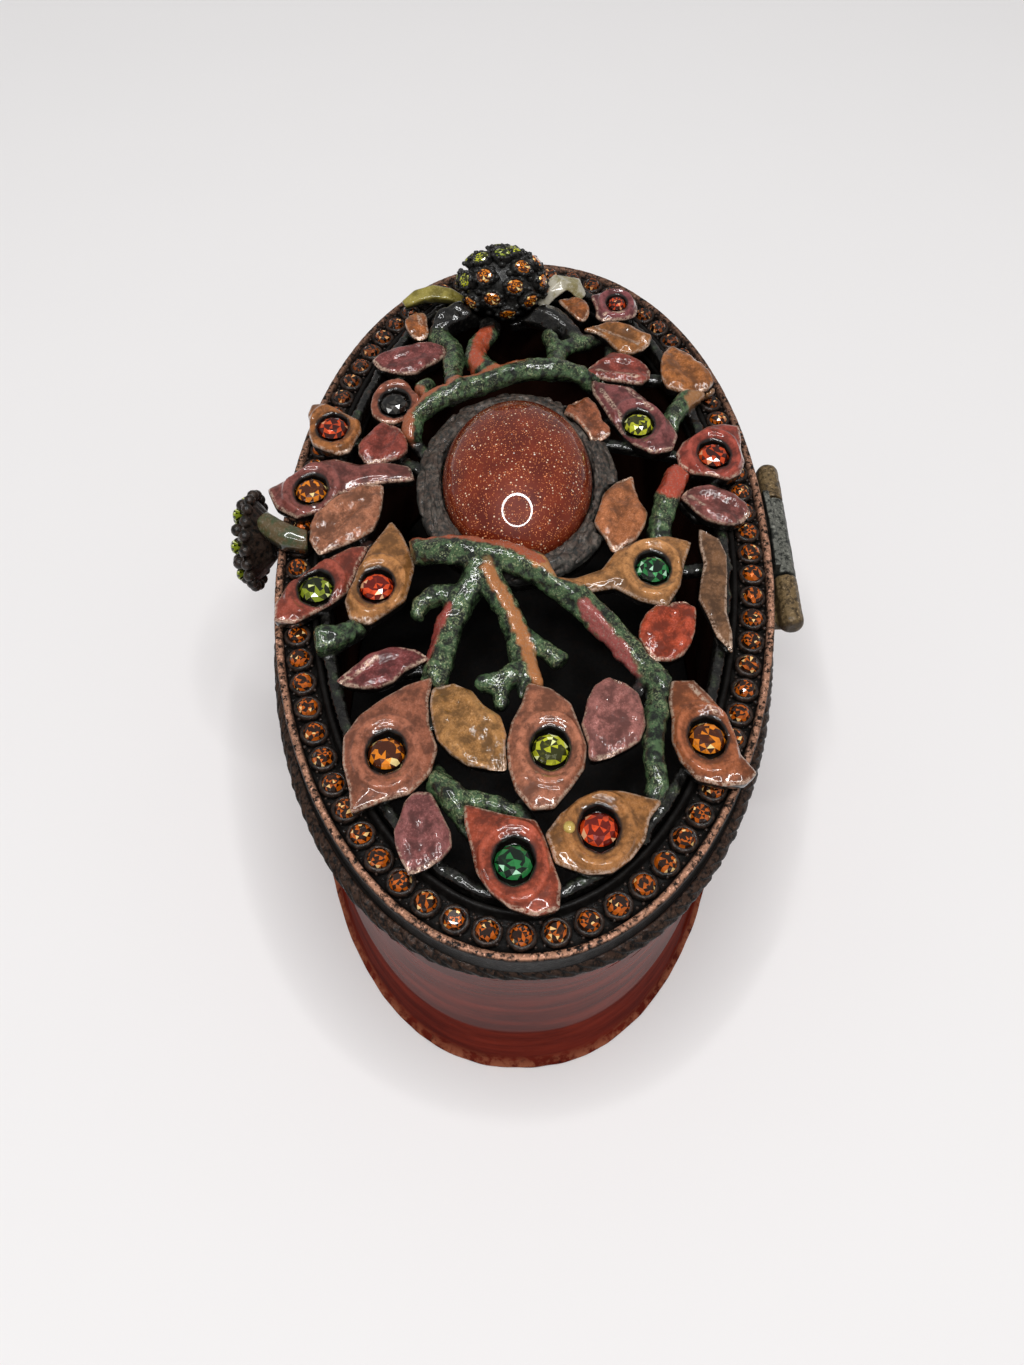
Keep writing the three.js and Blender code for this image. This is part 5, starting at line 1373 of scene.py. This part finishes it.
@dataclass
class Leaf:
    """A crowned enamel leaf with a rubbed edge, and its crystal in a hollow where it has one."""

    name: str
    look: LeafLook
    voxel: float = 0.17 * MM
    rim_width: float = 0.4 * MM
    lip: float = 0.6 * MM
    swell: float = 0.14 * MM
    recess_gap: float = 0.3 * MM
    recess_stretch: float = 1.25
    lip_share: float = 1.45
    lip_spread: float = 0.16

    def crystal_place(self) -> tuple[Vector, float] | None:
        """Find the leaf's crystal.

        Returns:
            Its middle and radius, or None where the leaf has none.
        """
        if self.look.glass is None:
            return None
        low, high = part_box(f"crystal_{self.name}")
        return (low + high) / 2, (high.x - low.x) / 2

    def build(self) -> None:
        """Soften the leaf, raise its relief and paint its edge, the painted sheen on its crests, and the dark
        metal and painted shade of its sides and hollow.
        """
        node = f"leaf_{self.name}"
        sides = self.side_tree(node)
        bm = remeshed(node, self.voxel, 6)
        middle, along, reach = self.midrib(bm)
        crystal = self.crystal_place()
        top = max(vertex.co.z for vertex in bm.verts)
        crumple = 0.16 * MM if self.look.sheen is Sheen.GLITTER else 0.06 * MM
        crest_sheen = [0.0] * len(bm.verts)

        def hollow_reach(place: Vector) -> float:
            """Distance from the middle of the crystal's recess, as a share of its size.

            Args:
                place: The place.

            Returns:
                The share, which is large on a leaf without a crystal.
            """
            if crystal is None:
                return 9.0
            spot, radius = crystal
            wide = radius + self.recess_gap
            return math.hypot((place.x - spot.x) / (self.recess_stretch * wide), (place.y - spot.y) / wide)

        def edge_distance(place: Vector) -> float:
            """Distance from the leaf's outer walls."""
            return sides.find_nearest(place)[3] or 0.0

        for i, vertex in enumerate(bm.verts):
            vertex.co += vertex.normal * self.swell
            if vertex.normal.z < 0.3:
                continue
            offset = vertex.co.xy - middle
            ahead, across = offset.dot(along), offset.x * along.y - offset.y * along.x
            silk = noise.noise(Vector((ahead / (1.8 * MM), across / (0.5 * MM), reach / MM)))
            dents = noise.noise(vertex.co / (1.3 * MM))
            lift = crumple * (0.6 * silk + 1.2 * dents)
            if crystal is None:
                bend = across + 0.4 * MM * noise.noise(Vector((ahead / (3 * MM), reach / MM, 0)))
                lift += 0.45 * MM * smoothstep(0.0, 1.8 * MM, abs(bend)) - 0.3 * MM
            else:
                inside = smoothstep(0.2 * MM, 0.9 * MM, edge_distance(vertex.co))
                ring = bell(hollow_reach(vertex.co), self.lip_share, self.lip_spread)
                lift += self.lip * ring * (0.4 + 0.6 * inside)
            # How far each place is raised, kept to paint sheen on the crests.
            crest_sheen[i] = smoothstep(-0.05 * MM, 0.35 * MM, lift)
            vertex.co.z = min(vertex.co.z + lift, top + 0.35 * MM)
        obj = add_object(f"enamel_{self.name}", bm, outward=False)
        obj.data.attributes.new("crest_sheen", "FLOAT", "POINT").data.foreach_set("value", crest_sheen)
        # Sides painted dark: the casting's metal with painted shade under the edge.
        paint(obj, "side", lambda place, normal: 1 - smoothstep(0.05, 0.3, normal.z))
        width = self.rim_width
        paint(obj, "edge", lambda place, normal: 1 - smoothstep(0.5 * width, width, edge_distance(place)))
        # The hollow painted dark: setting metal with painted shade in the recess.
        paint(obj, "hollow", lambda place, normal: 1 - smoothstep(0.98, 1.1, hollow_reach(place)))
        finish = LeafEnamel(f"enamel_{self.name}", srgb(self.look.tint), self.look.sheen)
        settle(obj, Body.LID, finish.material(), node)
        if crystal is not None:
            self.build_crystal(*crystal)

    def side_tree(self, node: str) -> BVHTree:
        """Search tree of the leaf's outer walls.

        Args:
            node: The leaf's node.

        Returns:
            The tree.
        """
        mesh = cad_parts[node].data
        crystal = self.crystal_place()
        polygons = []
        for face in mesh.polygons:
            recess = crystal is not None and (
                (face.center.xy - crystal[0].xy).length < 1.3 * (crystal[1] + self.recess_gap)
            )
            if abs(face.normal.z) < 0.5 and not recess:
                polygons.append(tuple(face.vertices))
        return BVHTree.FromPolygons([vertex.co for vertex in mesh.vertices], polygons)

    def midrib(self, bm: bmesh.types.BMesh) -> tuple[Vector, Vector, float]:
        """Middle, direction and half length of the leaf's long axis.

        Args:
            bm: The leaf's mesh.

        Returns:
            The middle, the unit direction and the half length.
        """
        middle = sum((v.co.xy for v in bm.verts), Vector((0, 0))) / len(bm.verts)
        offsets = [v.co.xy - middle for v in bm.verts]
        xx, yy, xy = (sum(values) for values in zip(*((o.x * o.x, o.y * o.y, o.x * o.y) for o in offsets)))
        turn = 0.5 * math.atan2(2 * xy, xx - yy)
        along = Vector((math.cos(turn), math.sin(turn)))
        return middle, along, max(abs(offset.dot(along)) for offset in offsets)

    def build_crystal(self, middle: Vector, radius: float) -> None:
        """Set the leaf's crystal.

        Args:
            middle: Its middle.
            radius: Its radius.
        """
        bm = bmesh.new()
        seed = sum(ord(letter) for letter in self.name)
        spot = Matrix.Translation((middle.x, middle.y, middle.z + 0.1 * MM))
        stamp(bm, brilliant(radius, 1.8 * MM, seed), spot @ Matrix.Rotation(seed, 4, "Z"))
        obj = add_object(f"stone_{self.name}", bm, smooth=False, outward=False)
        settle(obj, Body.LID, GLASS[self.look.glass].material(), f"crystal_{self.name}")


@dataclass
class GoldBead:
    """The small gold bead that stands on one of the near leaves."""

    leaf: str = "gold_near_right"
    place: Vector = field(default_factory=lambda: Vector((40.9, 4.5)) * MM)
    radius: float = 0.6 * MM

    def build(self) -> None:
        """Drop the bead on the leaf's enamel."""
        leaf = bpy.data.objects[f"enamel_{self.leaf}"]
        corners = [vertex.co for vertex in leaf.data.vertices]
        tree = BVHTree.FromPolygons(corners, [tuple(face.vertices) for face in leaf.data.polygons])
        start = Vector((self.place.x, self.place.y, CABOCHON_HIGH.z))
        spot = tree.ray_cast(start, Vector((0, 0, -1)))[0]
        bm = bmesh.new()
        bmesh.ops.create_icosphere(bm, subdivisions=3, radius=self.radius)
        flat = Matrix.Diagonal((1.1, 1.0, 0.7, 1.0))
        bmesh.ops.transform(bm, matrix=Matrix.Translation(spot) @ flat, verts=bm.verts)
        obj = add_object("gold_bead", bm)
        paint(obj, "under", lambda place, normal: 0.0)
        settle(obj, Body.LID, GlossEnamel("bead_gold", srgb(0xB0954A), srgb(0xC8AE60)).material())


@dataclass
class Hinge:
    """Brass knuckles on the body, a dark knuckle on the lid, and the pin."""

    voxel: float = 0.16 * MM

    def build(self) -> None:
        """Soften the castings, pit them and dress the pin."""
        brass = AntiqueMetal("hinge_brass", srgb(0x3A2E1E), srgb(0x7A6444), srgb(0xA88C62), 0.42)
        pewter = AntiqueMetal("hinge_pewter", srgb(0x1E201D), srgb(0x4A4A44), srgb(0xA8A89C), 0.5)
        for node, name, body, finish, wear in (
            ("body_hinge", "brass_knuckles", Body.BOX, brass, 0.5),
            ("lid_hinge", "pewter_knuckle", Body.LID, pewter, 0.45),
        ):
            bm = remeshed(node, self.voxel, 3)
            for vertex in bm.verts:
                vertex.co += vertex.normal * 0.05 * MM * (noise.noise(vertex.co / (0.7 * MM)) - 0.6)
            obj = add_object(name, bm, outward=False)
            paint(obj, "worn", lambda place, normal, wear=wear: wear * smoothstep(0.2, 0.9, normal.z))
            settle(obj, body, finish.material(), node)
        dress(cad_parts["hinge_pin"], brass.material())


@dataclass
class ThumbPiece:
    """The rosette that the thumb lifts, its beads and its stem."""

    rows: tuple[tuple[float, float, float, int], ...] = (
        (0.9, 0.6, 0.72 * MM, 20), (0.74, 0.84, 0.78 * MM, 14),
        (0.5, 0.93, 0.75 * MM, 10), (0.24, 0.97, 0.72 * MM, 5),
    )
    petals: int = 14

    def build(self) -> None:
        """Flute the cup, set beads and crystals on its face, and finish the stem."""
        low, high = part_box("thumb_rosette")
        centre = (low + high) / 2
        radius, depth = (high.z - low.z) / 2, high.y - low.y
        bm = remeshed("thumb_rosette", 0.16 * MM, 3)
        for vertex in bm.verts:
            side = Vector((vertex.co.x - centre.x, vertex.co.z - centre.z))
            out = smoothstep(0.35, 0.9, side.length / radius)
            flute = abs(math.sin(self.petals / 2 * math.atan2(side.y, side.x)))
            rough = noise.noise(vertex.co / (0.8 * MM))
            vertex.co += vertex.normal * (out * 0.3 * (flute - 0.75) + 0.05 * rough) * MM
        dark = AntiqueMetal("rosette_metal", dark=srgb(0x0D0E0D), light=srgb(0x2A2B28), rough=0.36)
        cup = add_object("rosette_cup", bm, outward=False)
        paint(cup, "worn", lambda place, normal: 0.06)
        settle(cup, Body.LID, dark.material(), "thumb_rosette")
        bead = ball("rosette_bead", 1.0, 2)
        cut = brilliant(0.8 * MM, 1.0 * MM, 5)
        beads, stones = bmesh.new(), bmesh.new()
        for row, (share, lift, size, count) in enumerate(self.rows):
            for i in range(count):
                turn = ROUND * (i + row / 2) / count
                y = high.y - depth * lift
                reach = radius * share
                spot = Vector((centre.x + math.cos(turn) * reach, y, centre.z + math.sin(turn) * reach))
                if row == 0 or (i + row) % 2:
                    stamp(beads, bead, Matrix.Translation(spot) @ Matrix.Scale(size, 4))
                else:
                    face = Matrix.Rotation(math.pi / 2, 4, "X")
                    stamp(stones, cut, Matrix.Translation(spot + Vector((0, -0.25 * MM, 0))) @ face)
        row = add_object("rosette_beads", beads)
        paint(row, "worn", lambda place, normal: 0.06)
        settle(row, Body.LID, dark.material())
        pave = add_object("rosette_stones", stones, smooth=False, outward=False)
        settle(pave, Body.LID, GLASS["olive"].material())
        stem = add_object("stem_enamel", remeshed("thumb_stem", 0.18 * MM, 4), outward=False)
        # Downward faces of the stem painted dark: painted shade.
        paint(stem, "under", lambda place, normal: 1 - smoothstep(-0.1, 0.35, normal.z))
        enamel = GlossEnamel("stem_enamel", srgb(0x3E4A30), srgb(0x5A4A30), 1.5 * MM)
        settle(stem, Body.LID, enamel.material(), "thumb_stem")


@dataclass
class Berry:
    """The berry of claw-set crystals at the far end, with two sepals."""

    radius: float = 4.1 * MM
    rise: float = 3.7 * MM
    cup: float = 1.2 * MM
    cups: int = 22
    spread: float = 1.35
    width: float = 1.25
    prongs: int = 6
    beads: int = 90

    def build(self) -> None:
        """Build the core, the cups with their stones and prongs, and the sepals."""
        low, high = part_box("berry")
        centre = Vector(((low.x + high.x) / 2, (low.y + high.y) / 2, high.z - self.radius - 1.1 * MM))
        stretch = Matrix.Diagonal((1.0, self.width, 1.0, 1.0))
        metal = bmesh.new()
        stamp(metal, ball("berry_ball", self.radius, 4), Matrix())
        foot = turned([(0, -self.rise), (3.1 * MM, -self.rise), (2.4 * MM, -2 * MM), (0, -1.5 * MM)], 24)
        stamp(metal, as_mesh("calyx", foot), Matrix())
        for vertex in metal.verts:
            above = smoothstep(-3.6 * MM, -3 * MM, vertex.co.z)
            vertex.co += 0.3 * MM * noise.noise_vector(vertex.co / (1.4 * MM)) * above
            vertex.co.z = max(vertex.co.z, -self.rise)
        top = self.radius + 1.05 * MM
        tube = as_mesh("berry_cup", turned([
            (0, 3.2 * MM), (self.cup, 3.2 * MM), (self.cup, top - 0.35 * MM),
            (self.cup - 0.1 * MM, top - 0.2 * MM), (self.cup - 0.28 * MM, top - 0.25 * MM),
            (self.cup - 0.34 * MM, top - 0.8 * MM), (0, top - 0.8 * MM),
        ], 16))
        prong = ball("prong", 0.34 * MM)
        cuts = {shade: brilliant(1.0 * MM, 1.0 * MM, i) for i, shade in enumerate(("lime", "honey", "olive"))}
        groups = {shade: bmesh.new() for shade in cuts}
        golden = math.pi * (3 - math.sqrt(5))
        for i in range(self.cups):
            height = 1 - i / self.cups * self.spread
            flat = math.sqrt(1 - height * height)
            out = Vector((math.cos(i * golden) * flat, math.sin(i * golden) * flat, height))
            aim = out.to_track_quat("Z", "Y").to_matrix().to_4x4()
            stamp(metal, tube, aim)
            shade = "honey" if out.x + 0.7 * out.y > 0.1 else ("lime" if i % 3 else "olive")
            stamp(groups[shade], cuts[shade], aim @ Matrix.Translation((0, 0, top - 0.38 * MM)))
            for k in range(self.prongs):
                turn = Matrix.Rotation(ROUND * k / self.prongs + i, 4, "Z")
                stamp(metal, prong, aim @ turn @ Matrix.Translation((self.cup - 0.1 * MM, 0, top - 0.3 * MM)))
        for i in range(self.beads):
            height = 0.95 - 1.6 * i / self.beads
            flat = math.sqrt(1 - height * height)
            out = Vector((math.cos(i * golden) * flat, math.sin(i * golden) * flat, height))
            stamp(metal, prong, Matrix.Translation(out * (self.radius + 0.1 * MM)) @ Matrix.Scale(1.5, 4))
        place = Matrix.Translation(centre) @ stretch
        for shade, bm in groups.items():
            bmesh.ops.transform(bm, matrix=place, verts=bm.verts)
            stones = add_object(f"berry_stones_{shade}", bm, smooth=False, outward=False)
            settle(stones, Body.LID, GLASS[shade].material())
        bmesh.ops.transform(metal, matrix=place, verts=metal.verts)
        obj = add_object("berry_cups", metal)
        paint(obj, "worn", lambda place, normal: 0.04)
        finish = AntiqueMetal("berry_metal", srgb(0x0C0C0C), srgb(0x2C2B29), srgb(0xC8C4BC), 0.32)
        settle(obj, Body.LID, finish.material(), "berry")
        for node, first, second in (
            ("sepal_left", srgb(0x6E6428), srgb(0x948840)), ("sepal_right", srgb(0x8A8058), srgb(0xB8B2A0)),
        ):
            sepal = add_object(f"enamel_{node}", remeshed(node, 0.16 * MM, 4), outward=False)
            # Downward faces of the sepal painted dark: painted shade.
            paint(sepal, "under", lambda place, normal: 1 - smoothstep(-0.15, 0.25, normal.z))
            settle(sepal, Body.LID, GlossEnamel(f"enamel_{node}", first, second).material(), node)


@dataclass
class Studio:
    """The paper, the lamp and the camera at the photograph's place."""

    camera: Vector = field(default_factory=lambda: Vector((87.154, -0.914, 136.215)) * MM)
    yaw: float = math.radians(0.327)
    pitch: float = math.radians(55.935)
    roll: float = math.radians(0.522)
    focal_pixels: float = 1065.0
    image_height: float = 1365.0
    sensor: float = 36.0
    floor_size: float = 1.6
    lamp: Vector = field(default_factory=lambda: Vector((191, 0, 800)) * MM)
    lamp_radius: float = 290 * MM
    lamp_hole: float = 0.88
    lamp_strength: float = 36.0
    room_strength: float = 0.26

    def build_camera(self) -> None:
        """Stand the camera where the photograph was taken from."""
        data = bpy.data.cameras.new("camera")
        data.sensor_width = self.sensor
        data.lens = self.sensor * self.focal_pixels / self.image_height
        data.clip_start = 0.01
        camera = bpy.data.objects.new("camera", data)
        bpy.context.scene.collection.objects.link(camera)
        flat = math.cos(self.pitch)
        forward = Vector((-flat * math.cos(self.yaw), -flat * math.sin(self.yaw), -math.sin(self.pitch)))
        right = forward.cross(Vector((0, 0, 1))).normalized()
        up = right.cross(forward)
        c, s = math.cos(self.roll), math.sin(self.roll)
        right, up = right * c + up * s, up * c - right * s
        turn = Matrix((right, up, -forward)).transposed().to_4x4()
        camera.matrix_world = Matrix.Translation(self.camera) @ turn
        bpy.context.scene.camera = camera

    def build_paper(self) -> None:
        """Lay the paper under the box."""
        bm = bmesh.new()
        bmesh.ops.create_grid(bm, x_segments=8, y_segments=8, size=self.floor_size / 2)
        bmesh.ops.translate(bm, verts=bm.verts, vec=(0, 0, BODY_LOW.z - 0.05 * MM))
        paper = add_object("paper", bm)
        dress(paper, Floor().material())

    def build_ring_lamp(self) -> None:
        """Hang the ring lamp whose image shows on the goldstone."""
        bm = bmesh.new()
        bmesh.ops.create_circle(bm, segments=96, radius=self.lamp_radius)
        inner = bmesh.ops.extrude_edge_only(bm, edges=bm.edges[:])["geom"]
        verts = [item for item in inner if isinstance(item, bmesh.types.BMVert)]
        bmesh.ops.scale(bm, verts=verts, vec=(self.lamp_hole, self.lamp_hole, 1.0))
        aim = (self.lamp - Vector((0.0, 0.0, EDGE_TOP))).to_track_quat("Z", "Y").to_matrix().to_4x4()
        bmesh.ops.transform(bm, matrix=Matrix.Translation(self.lamp) @ aim, verts=bm.verts)
        ring = add_object("ring_lamp", bm, outward=False)
        n = Nodes("lamp_glow")
        glow = n.add("ShaderNodeEmission")
        glow.inputs["Strength"].default_value = self.lamp_strength
        n.join(glow.outputs[0], n.tree.nodes["Material Output"].inputs["Surface"])
        dress(ring, n.material)
        ring.visible_camera = False

    def build_world(self) -> None:
        """Give the room its even pale light."""
        world = bpy.data.worlds.new("room")
        world.use_nodes = True
        back = world.node_tree.nodes["Background"]
        back.inputs["Color"].default_value = (1.0, 0.99, 0.985, 1.0)
        back.inputs["Strength"].default_value = self.room_strength
        bpy.context.scene.world = world
        bpy.context.scene.view_settings.view_transform = "Standard"

    def build(self) -> None:
        """Set up the whole studio."""
        self.build_camera()
        self.build_paper()
        self.build_world()
        self.build_ring_lamp()


def main() -> None:
    """Build each class in order."""
    logging.basicConfig(level=logging.INFO, format="%(name)s %(message)s")
    # Until it is seeded, noise_vector gives other values in each run.
    noise.seed_set(NOISE_SEED)
    shell = BoxShell()
    shell.build_wall()
    shell.build_rope()
    shell.dress_plate()
    rim = LidRim()
    rim.build_casting()
    rim.build_stones()
    work = Openwork()
    work.build_branches()
    work.build_nest()
    work.build_cabochon()
    for name, look in LEAVES.items():
        Leaf(name, look).build()
    GoldBead().build()
    Hinge().build()
    ThumbPiece().build()
    Berry().build()
    Studio().build()


if __name__ == "__main__":
    main()
